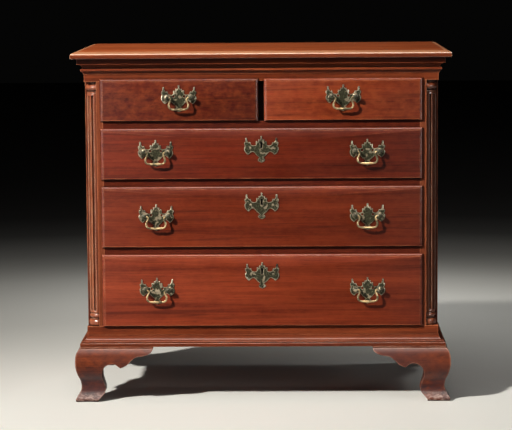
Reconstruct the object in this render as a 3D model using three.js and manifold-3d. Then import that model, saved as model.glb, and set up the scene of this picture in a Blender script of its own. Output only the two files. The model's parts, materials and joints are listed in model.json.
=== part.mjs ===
// A chest of drawers: a moulded top over two short and three long lipped drawers, fluted
// quarter columns let into the front corners, ogee bracket feet, and pierced brass plates
// with swinging bails. Millimetres, +Z up, the front faces -Y, the origin is the middle of
// the floor under the top board.
import * as THREE from "three";
import { mergeVertices } from "three/addons/utils/BufferGeometryUtils.js";
import Module from "manifold-3d";

const wasm = await Module();
wasm.setup();

// Sizes of the case
const top_width = 945;
const top_depth = 533;
const top_thickness = 18;
const top_overhang = 31;
const top_edge_width = 18; // the moulded edge, measured in from the tip
const top_edge_step = 1.5; // the small drop where the flat of the top ends
const foot_height = 138.5;
const base_moulding_height = 28;
const base_moulding_reach = 17.5;
const bottom_rail_showing = 21.5; // bottom rail seen between moulding and drawer
const divider_thickness = 24;
const top_rail_height = 57;
const top_rail_depth = 22;
const cornice_height = 39.5;
const cornice_reach = 16;
const side_thickness = 20;
const back_thickness = 12;
const back_rabbet = 10; // how far the backboard is let into each side
const bottom_board_thickness = 20;
const dust_board_thickness = 12;
const housing_depth = 6; // groove in the case side that holds a dust board
const guide_height = 16;
const guide_end_gap = 20; // from the end of a guide to the backboard
const stile_width = 16;
const stile_depth = 50;
const divider_tongue = 20; // divider's rail behind the stiles

// Heights of the drawer openings, from the short drawers at the top down to the deepest
const short_opening_height = 100;
const upper_opening_height = 122;
const middle_opening_height = 147;
const lower_opening_height = 176;
const partition_thickness = 18;
const partition_setback = 16;

// Sizes of the corner columns
const recess = 30; // square recess in each front corner
const shaft_radius = 25;
const turning_radius = 27; // the fullest beads of capital and base
const capital_height = 35;
const column_base_height = 34;
const flute_radius = 3.1;
const flute_centre_out = 0.6; // how far a flute's centre lies outside the shaft
const flute_end_gap = 6; // from the end of a flute to the turning
const flute_count = 3;

// Sizes of the feet
const foot_reach = 30; // the widest swell, outside the case
const foot_thickness = 25; // inside the case's face
const bracket_length = 165;
const rear_bracket_length = 125;
const rear_board_thickness = 22;
const foot_fillet_height = 5;
const corner_block = 11; // glued upright in the corner of a foot
const corner_block_lift = 14;
const bracket_block = 20; // glued along the top of each bracket
const bracket_block_length_share = 0.68; // share of the bracket's length
const bracket_block_low_share = 0.84; // share of the foot's height

// Sizes of the drawers
const lip_overlap = 6.5; // lip over the case, at the top and both sides
const drawer_proud = 8; // face of a drawer in front of the case
const front_thickness = 22;
const thumb_width = 6.5; // rounded edge round the face
const thumb_step = 1;
const thumb_drop = 6;
const side_play = 1; // between a drawer and its guides
const top_play = 1.5;
const rest_gap = 0.25; // between pieces that only rest or slide on each other
const centre_gap = 14; // between the two short drawers' faces
const partition_play = 1.5;
const drawer_side_thickness = 10;
const drawer_back_thickness = 12;
const drawer_side_drop = 3.5; // side's top edge below the front's
const drawer_bottom_thickness = 9;
const drawer_bottom_lift = 8;
const groove_depth = 4;
const groove_play = 0.5;
const rear_clearance = 8.5; // from the drawer to the backboard
const tail_length = 12;
const tail_pitch = 40;
const tail_flare = 3;
const fewest_tails = 2;
const tail_gap_share = 0.34; // share of the pitch left to the pins

// Sizes of the brass plates and bails
const plate_half_width = 44;
const plate_crest = 28; // from the posts' line up to the tip
const plate_thickness = 2;
const piercing_radius = 1.9;
const piercing_from_centre = 12.7;
const piercing_rise = 4.4;
const post_from_centre = 30;
const post_radius = 2.5;
const post_hole_play = 0.4;
const post_head_radius = 4.6;
const post_head_out = 12; // from the plate's face to the pivot line
const post_collar_radius = 5.6;
const post_collar_height = 1.5;
const nut_radius = 6;
const nut_thickness = 4;
const bail_wire_radius = 2.2;
const bail_bore_play = 0.4;
const bail_shoulder = 19.5;
const bail_swell = 24.5;
const bail_drop = 30;
const bail_pin_depth = 5;
const bail_bore_depth = 5.6;
const long_pull_from_end = 138; // from the end of a long drawer's face
const short_pull_height = 60; // posts' line above the floor of the opening
const upper_pull_height = 70;
const middle_pull_height = 80;
const lower_pull_height = 94;

// Sizes of the keyholes, escutcheons and locks
const escutcheon_half_width = 43;
const escutcheon_crest = 28;
const upper_escutcheon_drop = 50; // from the lip's top to the line of the nails
const middle_escutcheon_drop = 46;
const lower_escutcheon_drop = 50;
const keyhole_head_radius = 3.7;
const keyhole_slot_width = 5.2;
const keyhole_head_rise = 12;
const keyhole_slot_drop = 1;
const nail_from_centre = 28.5;
const nail_radius = 1.1;
const nail_head_radius = 2.4;
const nail_length = 10;
const nail_hole_play = 0.3;
const lock_width = 76;
const lock_height = 46;
const lock_depth = 10;
const keyhole_depth_in_lock = 7;
const bolt_width = 24;
const bolt_thickness = 5;
const bolt_height = 21;
const bolt_throw = 8;
const bolt_play = 0.5;
const mortise_play = 1.5;

// Facets and the overrun of a cutting tool
const overrun = 5;
const arc_steps = 4;
const round_sides = 8;
const ball_rings = 5;
const small_round_sides = 6; // the piercings, and the wire of a bail
const column_sides = 32;
const flute_end_steps = 2;
const ogee_steps = 16;
const scroll_steps = 14;
const scroll_outer_steps = 8;
const rear_edge_steps = 6;

// Places worked out from the sizes
const case_half = top_width / 2 - top_overhang;
const case_front = -top_depth / 2 + top_overhang;
const case_rear = top_depth / 2;
const opening_half = case_half - recess - stile_width;
const column_x = case_half - recess;
const column_y = case_front + recess;
const side_inner = case_half - side_thickness;
const back_face = case_rear - back_thickness;
const base_top = foot_height + base_moulding_height;
const lower_floor = base_top + bottom_rail_showing;
const middle_floor = lower_floor + lower_opening_height + divider_thickness;
const upper_floor = middle_floor + middle_opening_height + divider_thickness;
const short_floor = upper_floor + upper_opening_height + divider_thickness;
const top_rail_floor = short_floor + short_opening_height;
const case_top = top_rail_floor + top_rail_height;
const face_y = case_front - drawer_proud;
const front_rear_y = face_y + front_thickness;
const lip_back_y = case_front - rest_gap;
const drawer_rear_y = back_face - rear_clearance;
const lip_half = opening_half + lip_overlap;
const pivot_y = face_y - plate_thickness - post_head_out;

// Finishes
const wood = new THREE.MeshStandardMaterial({ color: 0x7a2f1c, roughness: 0.35, metalness: 0 });
const pale_wood = new THREE.MeshStandardMaterial({ color: 0xb98a58, roughness: 0.7, metalness: 0 });
const brass = new THREE.MeshStandardMaterial({ color: 0x6f6a4c, roughness: 0.45, metalness: 0.9 });
const steel = new THREE.MeshStandardMaterial({ color: 0x55504a, roughness: 0.5, metalness: 0.9 });

// Solids from three.js geometry, and back
function solid(geometry) {
  const bare = geometry.clone();
  bare.deleteAttribute("normal");
  bare.deleteAttribute("uv");
  const merged = mergeVertices(bare);
  return new wasm.Manifold(
    new wasm.Mesh({
      numProp: 3,
      vertProperties: merged.attributes.position.array,
      triVerts: new Uint32Array(merged.index.array),
    }),
  );
}

function piece(name, made, material) {
  const mesh = made.getMesh();
  const geometry = new THREE.BufferGeometry();
  geometry.setAttribute("position", new THREE.BufferAttribute(mesh.vertProperties, mesh.numProp));
  geometry.setIndex(new THREE.BufferAttribute(mesh.triVerts, 1));
  const faceted = geometry.toNonIndexed();
  faceted.computeVertexNormals();
  const node = new THREE.Mesh(faceted, material);
  node.name = name;
  return node;
}

function join(solids) {
  return solids.reduce((whole, next) => whole.add(next));
}

function cut(body, tools) {
  return tools.reduce((left, tool) => left.subtract(tool), body);
}

// A box between two limits on each axis, in any order
function box(x, y, z) {
  const sizes = [x, y, z].map(([from, to]) => Math.abs(to - from));
  const middles = [x, y, z].map(([from, to]) => (from + to) / 2);
  const geometry = new THREE.BoxGeometry(1, 1, 1);
  geometry.scale(...sizes);
  geometry.translate(...middles);
  return solid(geometry);
}

// A prism: an outline in the two axes across its length, and its limits along that axis
const x_axis = new THREE.Vector3(1, 0, 0);
const y_axis = new THREE.Vector3(0, 1, 0);
const z_axis = new THREE.Vector3(0, 0, 1);

function prism(points, holes, basis, origin) {
  const outline = new THREE.Shape(points.map(([a, b]) => new THREE.Vector2(a, b)));
  outline.holes = holes.map((hole) => new THREE.Path(hole.map(([a, b]) => new THREE.Vector2(a, b))));
  const geometry = new THREE.ExtrudeGeometry(outline, { depth: 1, bevelEnabled: false });
  geometry.applyMatrix4(basis);
  geometry.translate(...origin);
  return solid(geometry);
}

function prismAlongX(points_yz, from, to) {
  const along = x_axis.clone().multiplyScalar(Math.abs(to - from));
  const basis = new THREE.Matrix4().makeBasis(y_axis, z_axis, along);
  return prism(points_yz, [], basis, [Math.min(from, to), 0, 0]);
}

function prismAlongY(points_xz, from, to, holes = []) {
  const along = y_axis.clone().multiplyScalar(-Math.abs(to - from));
  const basis = new THREE.Matrix4().makeBasis(x_axis, z_axis, along);
  return prism(points_xz, holes, basis, [0, Math.max(from, to), 0]);
}

function prismAlongZ(points_xy, from, to) {
  const along = z_axis.clone().multiplyScalar(Math.abs(to - from));
  const basis = new THREE.Matrix4().makeBasis(x_axis, y_axis, along);
  return prism(points_xy, [], basis, [0, 0, Math.min(from, to)]);
}

// A round bar along Y or X
function barAlongY(x, z, from, to, radius) {
  const geometry = new THREE.CylinderGeometry(1, 1, 1, round_sides);
  geometry.scale(radius, Math.abs(to - from), radius);
  geometry.translate(x, (from + to) / 2, z);
  return solid(geometry);
}

function barAlongX(from, to, y, z, radius) {
  const geometry = new THREE.CylinderGeometry(1, 1, 1, round_sides);
  geometry.rotateZ(Math.PI / 2);
  geometry.scale(Math.abs(to - from), radius, radius);
  geometry.translate((from + to) / 2, y, z);
  return solid(geometry);
}

function ball(x, y, z, radius) {
  const geometry = new THREE.SphereGeometry(1, round_sides, ball_rings);
  geometry.scale(radius, radius, radius);
  geometry.translate(x, y, z);
  return solid(geometry);
}

function circle(x, y, radius, sides) {
  return Array.from({ length: sides }, (_, i) => {
    const angle = (2 * Math.PI * i) / sides;
    return [x + radius * Math.cos(angle), y + radius * Math.sin(angle)];
  });
}

// Outline points given as shares of a width and a height
function scaled(shares, width, height) {
  return shares.map(([a, b]) => [a * width, b * height]);
}

// A smooth line through outline points
function smooth(points, steps) {
  const curve = new THREE.SplineCurve(points.map(([a, b]) => new THREE.Vector2(a, b)));
  return curve.getPoints(steps).map((p) => [p.x, p.y]);
}

function arc(centre, radii, from, to) {
  return Array.from({ length: arc_steps + 1 }, (_, i) => {
    const angle = from + ((to - from) * i) / arc_steps;
    return [centre[0] + radii[0] * Math.cos(angle), centre[1] + radii[1] * Math.sin(angle)];
  });
}

// A slab the size of the case whose front and two sides follow a profile, with mitred
// corners: each profile point is how far it stands out of the case, and its height
function mouldedSlab(profile) {
  const low = profile[0][1];
  const high = profile[profile.length - 1][1];
  const reach = Math.max(...profile.map(([out]) => out)) + overrun;
  const front = profile.map(([out, z]) => [case_front - out, z]);
  const right = profile.map(([out, z]) => [case_half + out, z]);
  const left = profile.map(([out, z]) => [-case_half - out, z]).reverse();
  const across = prismAlongX(
    [...front, [case_rear, high], [case_rear, low]],
    -case_half - reach,
    case_half + reach,
  );
  const along = prismAlongY([...right, ...left], case_front - reach, case_rear);
  return across.intersect(along);
}

function mouldedFrame(profile) {
  const low = profile[0][1];
  const high = profile[profile.length - 1][1];
  const core = box(
    [-case_half, case_half],
    [case_front, case_rear + overrun],
    [low - overrun, high + overrun],
  );
  return mouldedSlab(profile).subtract(core);
}

// The top board: a flat, a small step down, an ovolo to the tip, and a rounded underside
const top_tip_share = 0.36; // height of the tip in the board's thickness
const top_under_share = 0.17;

function topBoard() {
  const tip_z = case_top + top_thickness * top_tip_share;
  const high = case_top + top_thickness;
  const under = top_thickness * top_under_share;
  const ovolo = arc(
    [top_overhang - top_edge_width, tip_z],
    [top_edge_width, high - top_edge_step - tip_z],
    0,
    Math.PI / 2,
  );
  return mouldedSlab([
    [top_overhang - under, case_top],
    [top_overhang, case_top + under],
    ...ovolo,
    [top_overhang - top_edge_width, high],
  ]);
}

// The cornice under the top: a fascia, a cove, a fillet and a bead
const cove_top_share = 0.65; // shares of the cornice height, from its lower edge
const cove_low_share = 0.42;
const bead_top_share = 0.38;
const bead_reach_share = 0.5; // shares of the cornice reach
const cove_low_reach_share = 0.22;

function corniceMoulding() {
  const low = case_top - cornice_height;
  const at = (share) => low + cornice_height * share;
  const cove_reach = cornice_reach * (1 - cove_low_reach_share);
  const cove = arc(
    [cornice_reach, at(cove_low_share)],
    [cove_reach, at(cove_top_share) - at(cove_low_share)],
    Math.PI,
    Math.PI / 2,
  );
  const bead_radius = (cornice_height * bead_top_share) / 2;
  const bead_flat = cornice_reach * cove_low_reach_share;
  const bead = arc(
    [bead_flat, low + bead_radius],
    [cornice_reach * bead_reach_share - bead_flat, bead_radius],
    -Math.PI / 2,
    Math.PI / 2,
  );
  return mouldedFrame([
    [0, low],
    ...bead,
    ...cove,
    [cornice_reach, case_top],
  ]);
}

// The base moulding: a flat band, a fillet, a small bead and a cove up to the case
const band_share = 0.3; // shares of the height of the moulding, from its lower edge
const fillet_share = 0.36;
const base_bead_share = 0.5;
const cove_end_share = 0.93;
const fillet_reach_share = 0.9; // shares of the reach of the moulding
const base_bead_reach_share = 0.86;
const cove_start_reach_share = 0.68;
const lip_reach_share = 0.1;

function baseMoulding() {
  const at = (share) => foot_height + base_moulding_height * share;
  const out = (share) => base_moulding_reach * share;
  const cove = arc(
    [out(cove_start_reach_share), at(cove_end_share)],
    [out(cove_start_reach_share - lip_reach_share), at(cove_end_share) - at(base_bead_share)],
    -Math.PI / 2,
    -Math.PI,
  );
  return mouldedFrame([
    [base_moulding_reach, foot_height],
    [base_moulding_reach, at(band_share)],
    [out(fillet_reach_share), at(fillet_share)],
    [out(base_bead_reach_share), at((fillet_share + base_bead_share) / 2)],
    ...cove,
    [out(lip_reach_share), base_top],
  ]);
}

// The case
function caseSide(side) {
  const board = box(
    [side * side_inner, side * case_half],
    [column_y, case_rear],
    [foot_height, case_top],
  );
  const rabbet = box(
    [side * (side_inner - overrun), side * (side_inner + back_rabbet)],
    [back_face, case_rear + overrun],
    [foot_height - overrun, case_top + overrun],
  );
  const housings = [middle_floor, upper_floor, short_floor].map((floor) =>
    box(
      [side * (side_inner - overrun), side * (side_inner + housing_depth)],
      [case_front + stile_depth, back_face],
      [floor - dust_board_thickness, floor],
    ),
  );
  return cut(board, [rabbet, ...housings]);
}

function frontStile(side) {
  const outline = [
    [opening_half, case_front],
    [column_x, case_front],
    [column_x, column_y],
    [side_inner, column_y],
    [side_inner, case_front + stile_depth],
    [opening_half, case_front + stile_depth],
  ].map(([x, y]) => [side * x, y]);
  return prismAlongZ(outline, lower_floor, top_rail_floor);
}

function cornerBlock(side, low, high) {
  return box([side * (column_x - overrun), side * case_half], [case_front, column_y], [low, high]);
}

function topRail() {
  const bar = box(
    [-column_x, column_x],
    [case_front, case_front + top_rail_depth],
    [top_rail_floor, case_top],
  );
  const blocks = [-1, 1].map((side) => cornerBlock(side, top_rail_floor, case_top));
  return join([bar, ...blocks]);
}

function guides(floor) {
  return [-1, 1].map((side) =>
    box(
      [side * opening_half, side * side_inner],
      [case_front + stile_depth, back_face - guide_end_gap],
      [floor - overrun, floor + guide_height],
    ),
  );
}

// A divider with its dust board and the guides that keep a drawer straight. The mortise
// above a locked drawer takes the bolt.
function drawerDivider(floor, locked_below) {
  const rail = box(
    [-opening_half, opening_half],
    [case_front, case_front + stile_depth + divider_tongue],
    [floor - divider_thickness, floor],
  );
  const dust_board = box(
    [-side_inner - housing_depth, side_inner + housing_depth],
    [case_front + stile_depth, back_face],
    [floor - dust_board_thickness, floor],
  );
  const whole = join([rail, dust_board, ...guides(floor)]);
  return locked_below ? whole.subtract(boltMortise(floor - divider_thickness)) : whole;
}

function smallDrawerPartition() {
  return box(
    [-partition_thickness / 2, partition_thickness / 2],
    [case_front + partition_setback, back_face],
    [short_floor, top_rail_floor],
  );
}

// The bottom board with the bottom rail and the blocks under the columns
function caseBottom() {
  const rail = box(
    [-column_x, column_x],
    [case_front, case_front + top_rail_depth],
    [foot_height, lower_floor],
  );
  const blocks = [-1, 1].map((side) => cornerBlock(side, foot_height, lower_floor));
  const board = box(
    [-side_inner, side_inner],
    [case_front + top_rail_depth - overrun, back_face],
    [lower_floor - bottom_board_thickness, lower_floor],
  );
  return join([rail, ...blocks, board, ...guides(lower_floor)]);
}

function backboard() {
  const reach = side_inner + back_rabbet;
  return box([-reach, reach], [back_face, case_rear], [foot_height, case_top]);
}

// A quarter column: turned base and capital, and a fluted shaft between them
const base_turning_shares = [
  // share of the turning radius, share of the base height from the floor
  [0.96, 0],
  [1, 0.12],
  [1, 0.36],
  [0.93, 0.48],
  [0.8, 0.54],
  [0.8, 0.62],
  [0.9, 0.66],
  [0.95, 0.76],
  [0.9, 0.87],
  [0.86, 0.9],
];
const capital_turning_shares = [
  // share of the turning radius, share of the capital height from the shaft
  [0.87, 0.08],
  [0.93, 0.14],
  [0.87, 0.22],
  [0.82, 0.28],
  [0.88, 0.34],
  [1, 0.44],
  [1, 0.56],
  [0.88, 0.68],
  [0.82, 0.76],
  [0.86, 0.86],
  [0.98, 0.92],
  [0.98, 1],
];

function quarterColumn(side) {
  const low = lower_floor;
  const high = top_rail_floor;
  const capital_low = high - capital_height;
  const base_high = low + column_base_height;
  const profile = [
    [0, low],
    ...scaled(base_turning_shares, turning_radius, column_base_height).map(([r, z]) => [r, z + low]),
    [shaft_radius, base_high],
    [shaft_radius, capital_low],
    ...scaled(capital_turning_shares, turning_radius, capital_height).map(([r, z]) => [
      r,
      z + capital_low,
    ]),
    [0, high],
  ];
  const turned = new THREE.LatheGeometry(
    profile.map(([r, z]) => new THREE.Vector2(r, z)),
    column_sides,
  );
  turned.rotateX(Math.PI / 2);
  turned.translate(side * column_x, column_y, 0);
  const quarter = box(
    [side * column_x, side * case_half],
    [case_front, column_y],
    [low, high],
  );
  const flute_length = capital_low - base_high - 2 * flute_end_gap - 2 * flute_radius;
  const flutes = Array.from({ length: flute_count }, (_, i) => {
    const angle = ((i + 1) * Math.PI) / 2 / (flute_count + 1);
    const out = shaft_radius + flute_centre_out;
    const groove = new THREE.CapsuleGeometry(flute_radius, flute_length, flute_end_steps, round_sides);
    groove.rotateX(Math.PI / 2);
    groove.translate(
      side * (column_x + out * Math.cos(angle)),
      column_y - out * Math.sin(angle),
      (base_high + capital_low) / 2,
    );
    return solid(groove);
  });
  return cut(solid(turned).intersect(quarter), flutes);
}

// The feet: each is a front and a side bracket mitred at the corner. The face follows the
// ogee, and the lower edge of each bracket is sawn to the scroll.
const ogee_shares = [
  // share of the foot's reach outside the case, share of the height under the fillet
  [0.84, 0],
  [0.95, 0.02],
  [0.95, 0.055],
  [0.76, 0.125],
  [0.56, 0.2],
  [0.51, 0.29],
  [0.59, 0.4],
  [0.8, 0.51],
  [0.98, 0.65],
  [1, 0.77],
  [0.93, 0.9],
  [0.66, 1],
];
const scroll_shares = [
  // share of the bracket's length from the case's corner, share of the foot's height
  [0.167, 0.03],
  [0.223, 0.1],
  [0.266, 0.17],
  [0.272, 0.25],
  [0.243, 0.37],
  [0.223, 0.46],
  [0.233, 0.57],
  [0.288, 0.66],
  [0.379, 0.7],
  [0.442, 0.68],
  [0.509, 0.62],
];
const scroll_outer_shares = [
  [0.509, 0.62],
  [0.6, 0.67],
  [0.667, 0.75],
  [0.751, 0.82],
  [0.89, 0.85],
  [0.988, 0.92],
  [1, 1],
];

function ogeeProfile() {
  const fillet_low = foot_height - foot_fillet_height;
  return [
    ...smooth(scaled(ogee_shares, foot_reach, fillet_low), ogee_steps),
    [base_moulding_reach, fillet_low],
    [base_moulding_reach, foot_height],
  ];
}

// The waste under a bracket: distance in from the case's corner, and height
function scrollWaste() {
  const inner = smooth(scaled(scroll_shares, bracket_length, foot_height), scroll_steps);
  const outer = smooth(scaled(scroll_outer_shares, bracket_length, foot_height), scroll_outer_steps);
  const far = bracket_length + overrun;
  return [
    [inner[0][0], -overrun],
    ...inner,
    ...outer.slice(1),
    [bracket_length, foot_height + overrun],
    [far, foot_height + overrun],
    [far, -overrun],
  ];
}

// The blocks glued inside a foot, up to the underside of the bottom board. Above the foot
// they stay behind the blocks under the columns.
function glueBlocks(side, inner_y, inward, clear_y) {
  const inner_x = case_half - foot_thickness;
  const board_underside = lower_floor - bottom_board_thickness;
  const along = bracket_length * bracket_block_length_share - foot_thickness;
  const low = foot_height * bracket_block_low_share;
  const upright = box(
    [side * inner_x, side * (inner_x - corner_block)],
    [inner_y, inner_y + inward * corner_block],
    [corner_block_lift, board_underside],
  );
  const across = box(
    [side * inner_x, side * (inner_x - along)],
    [inner_y, inner_y + inward * bracket_block],
    [low, board_underside],
  );
  const deep = box(
    [side * inner_x, side * (inner_x - bracket_block)],
    [inner_y, inner_y + inward * along],
    [low, board_underside],
  );
  const key = box(
    [side * (inner_x + overrun), side * (inner_x - corner_block)],
    [inner_y - inward * overrun, inner_y + inward * corner_block],
    [corner_block_lift, foot_height],
  );
  const taken = box(
    [0, side * case_half],
    [inner_y - inward * overrun, clear_y],
    [foot_height, board_underside + overrun],
  );
  return join([upright, across, deep, key]).subtract(taken);
}

function frontFoot(side) {
  const profile = ogeeProfile();
  const inside = bracket_length;
  const face = prismAlongX(
    [
      ...profile.map(([out, z]) => [case_front - out, z]),
      [case_front + inside, foot_height],
      [case_front + inside, 0],
    ],
    side * (case_half + foot_reach + overrun),
    side * (case_half - inside),
  );
  const flank = prismAlongY(
    [
      ...profile.map(([out, z]) => [side * (case_half + out), z]),
      [side * (case_half - inside), foot_height],
      [side * (case_half - inside), 0],
    ],
    case_front - foot_reach - overrun,
    case_front + inside,
  );
  const inner_x = case_half - foot_thickness;
  const inner_y = case_front + foot_thickness;
  const hollow = box(
    [side * inner_x, side * (case_half - inside - overrun)],
    [inner_y, case_front + inside + overrun],
    [-overrun, foot_height + overrun],
  );
  const front_waste = prismAlongY(
    scrollWaste().map(([inward, z]) => [side * (case_half - inward), z]),
    case_front - foot_reach - overrun,
    inner_y + overrun,
  );
  const side_waste = prismAlongX(
    scrollWaste().map(([inward, z]) => [case_front + inward, z]),
    side * (case_half + foot_reach + overrun),
    side * (inner_x - overrun),
  );
  const brackets = cut(face.intersect(flank), [hollow, front_waste, side_waste]);
  return brackets.add(glueBlocks(side, inner_y, 1, column_y));
}

// A rear foot has the ogee on its side bracket only, and a plain board across the back
const rear_board_shares = [
  // share of the rear board's length from the corner, share of the foot's height
  [0.42, 0],
  [0.5, 0.3],
  [0.72, 0.5],
  [1, 0.6],
];

function rearFoot(side) {
  const profile = ogeeProfile();
  const flank = prismAlongY(
    [
      ...profile.map(([out, z]) => [side * (case_half + out), z]),
      [side * (case_half - rear_bracket_length), foot_height],
      [side * (case_half - rear_bracket_length), 0],
    ],
    case_rear - bracket_length,
    case_rear,
  );
  const inner_x = case_half - foot_thickness;
  const inner_y = case_rear - rear_board_thickness;
  const hollow = box(
    [side * inner_x, side * (case_half - rear_bracket_length - overrun)],
    [case_rear - bracket_length - overrun, inner_y],
    [-overrun, foot_height + overrun],
  );
  const side_waste = prismAlongX(
    scrollWaste().map(([inward, z]) => [case_rear - inward, z]),
    side * (case_half + foot_reach + overrun),
    side * (inner_x - overrun),
  );
  const rear_edge = smooth(
    scaled(rear_board_shares, rear_bracket_length, foot_height),
    rear_edge_steps,
  );
  const rear_waste = prismAlongY(
    [
      [rear_edge[0][0], -overrun],
      ...rear_edge,
      [rear_bracket_length + overrun, rear_edge[rear_edge.length - 1][1]],
      [rear_bracket_length + overrun, -overrun],
    ].map(([inward, z]) => [side * (case_half - inward), z]),
    inner_y - overrun,
    case_rear + overrun,
  );
  return cut(flank, [hollow, side_waste, rear_waste]).add(glueBlocks(side, inner_y, -1, inner_y));
}

// A drawer. Its frame has x from the middle of its face and z from the floor of its opening.
// The sides are dovetailed into the front.
function tailPlaces(low, high) {
  const count = Math.max(fewest_tails, Math.round((high - low) / tail_pitch));
  const pitch = (high - low) / count;
  return Array.from({ length: count }, (_, i) => {
    const middle = low + (i + 1 / 2) * pitch;
    const half = (pitch * (1 - tail_gap_share)) / 2;
    return [middle - half, middle + half];
  });
}

function tailOutline([low, high], play) {
  const tip_y = front_rear_y - tail_length - play;
  return [
    [front_rear_y + overrun, low + tail_flare - play],
    [front_rear_y, low + tail_flare - play],
    [tip_y, low - play],
    [tip_y, high + play],
    [front_rear_y, high - tail_flare + play],
    [front_rear_y + overrun, high - tail_flare + play],
  ];
}

function keyholeOutline(z) {
  const half = keyhole_slot_width / 2;
  const start = Math.asin(half / keyhole_head_radius);
  const head_z = z + keyhole_head_rise;
  const sweep = 2 * (Math.PI - start);
  const head = Array.from({ length: round_sides + 1 }, (_, i) => {
    const angle = start + (sweep * i) / round_sides;
    return [keyhole_head_radius * Math.sin(angle), head_z - keyhole_head_radius * Math.cos(angle)];
  });
  return [[half, z - keyhole_slot_drop], ...head, [-half, z - keyhole_slot_drop]];
}

function drawerSizes(plan) {
  const core_top = plan.opening_height - top_play;
  const lip_top = plan.opening_height + lip_overlap;
  return {
    low: rest_gap,
    core_top,
    lip_top,
    side_top: core_top - drawer_side_drop,
    escutcheon_z: lip_top - plan.escutcheon_drop,
  };
}

function drawerFront(plan) {
  const { low, core_top, lip_top, side_top } = drawerSizes(plan);
  // the rounded edge, from the edge of the lip to the flat of the face
  const thumb = arc(
    [thumb_width, face_y + thumb_step + thumb_drop],
    [thumb_width, thumb_drop],
    Math.PI,
    (3 * Math.PI) / 2,
  );
  const edge = [...thumb, [thumb_width, face_y]];
  const lip = plan.lip_half;
  const plan_outline = [
    [-lip, lip_back_y],
    ...edge.map(([inward, y]) => [-lip + inward, y]),
    ...edge.map(([inward, y]) => [lip - inward, y]).reverse(),
    [lip, lip_back_y],
    [plan.core_right, lip_back_y],
    [plan.core_right, front_rear_y],
    [plan.core_left, front_rear_y],
    [plan.core_left, lip_back_y],
  ];
  const height_outline = [
    ...edge.map(([inward, y]) => [y, low + inward]),
    ...edge.map(([inward, y]) => [y, lip_top - inward]).reverse(),
    [lip_back_y, lip_top],
    [lip_back_y, core_top],
    [front_rear_y, core_top],
    [front_rear_y, low],
  ];
  const board = prismAlongZ(plan_outline, low, lip_top).intersect(
    prismAlongX(height_outline, -lip, lip),
  );
  const sockets = tailPlaces(low, side_top).flatMap((tail) => {
    const outline = tailOutline(tail, rest_gap);
    return [
      prismAlongX(outline, plan.core_left - overrun, plan.core_left + drawer_side_thickness + rest_gap),
      prismAlongX(outline, plan.core_right + overrun, plan.core_right - drawer_side_thickness - rest_gap),
    ];
  });
  const bottom_groove = box(
    [
      plan.core_left + drawer_side_thickness - groove_depth,
      plan.core_right - drawer_side_thickness + groove_depth,
    ],
    [front_rear_y - groove_depth, front_rear_y + overrun],
    [drawer_bottom_lift, drawer_bottom_lift + drawer_bottom_thickness],
  );
  const post_holes = plan.pulls.flatMap((pull_x) =>
    [-1, 1].map((side) =>
      barAlongY(
        pull_x + side * post_from_centre,
        plan.pull_height,
        face_y - overrun,
        front_rear_y + overrun,
        post_radius + post_hole_play,
      ),
    ),
  );
  return cut(board, [...sockets, bottom_groove, ...post_holes, ...lockCuts(plan)]);
}

function drawerBox(plan) {
  const { low, side_top } = drawerSizes(plan);
  const sides = [
    [plan.core_left, plan.core_left + drawer_side_thickness],
    [plan.core_right, plan.core_right - drawer_side_thickness],
  ].map((limits) => {
    const board = box(limits, [front_rear_y, drawer_rear_y], [low, side_top]);
    const tails = tailPlaces(low, side_top).map((tail) => prismAlongX(tailOutline(tail, 0), ...limits));
    return join([board, ...tails]);
  });
  const back = box(
    [plan.core_left, plan.core_right],
    [drawer_rear_y - drawer_back_thickness, drawer_rear_y],
    [drawer_bottom_lift + drawer_bottom_thickness, side_top],
  );
  const groove = box(
    [
      plan.core_left + drawer_side_thickness - groove_depth,
      plan.core_right - drawer_side_thickness + groove_depth,
    ],
    [front_rear_y - overrun, drawer_rear_y + overrun],
    [drawer_bottom_lift, drawer_bottom_lift + drawer_bottom_thickness],
  );
  return join([...sides, back]).subtract(groove);
}

function drawerBottom(plan) {
  const edge = drawer_side_thickness - groove_depth + groove_play;
  return box(
    [plan.core_left + edge, plan.core_right - edge],
    [front_rear_y - groove_depth, drawer_rear_y],
    [drawer_bottom_lift, drawer_bottom_lift + drawer_bottom_thickness],
  );
}

// The lock sits in a pocket behind the front, open at the top for its bolt
const lock_front_y = front_rear_y - lock_depth + rest_gap;
const bolt_front_y = lock_front_y + (lock_depth - bolt_thickness) / 2;
const bolt_rear_y = bolt_front_y + bolt_thickness;

function lockCuts(plan) {
  if (!plan.locked) return [];
  const { core_top, escutcheon_z } = drawerSizes(plan);
  const pocket = box(
    [-lock_width / 2 - rest_gap, lock_width / 2 + rest_gap],
    [front_rear_y - lock_depth, front_rear_y + overrun],
    [core_top - lock_height - rest_gap, core_top + overrun],
  );
  const keyhole = prismAlongY(
    keyholeOutline(escutcheon_z),
    face_y - overrun,
    front_rear_y,
  );
  const nail_holes = [-1, 1].map((side) =>
    barAlongY(
      side * nail_from_centre,
      escutcheon_z,
      face_y - overrun,
      face_y + nail_length + nail_hole_play,
      nail_radius + nail_hole_play,
    ),
  );
  return [pocket, keyhole, ...nail_holes];
}

function boltMortise(underside) {
  return box(
    [-bolt_width / 2 - mortise_play, bolt_width / 2 + mortise_play],
    [bolt_front_y - mortise_play, bolt_rear_y + mortise_play],
    [underside - overrun, underside + bolt_throw + mortise_play],
  );
}

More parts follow.
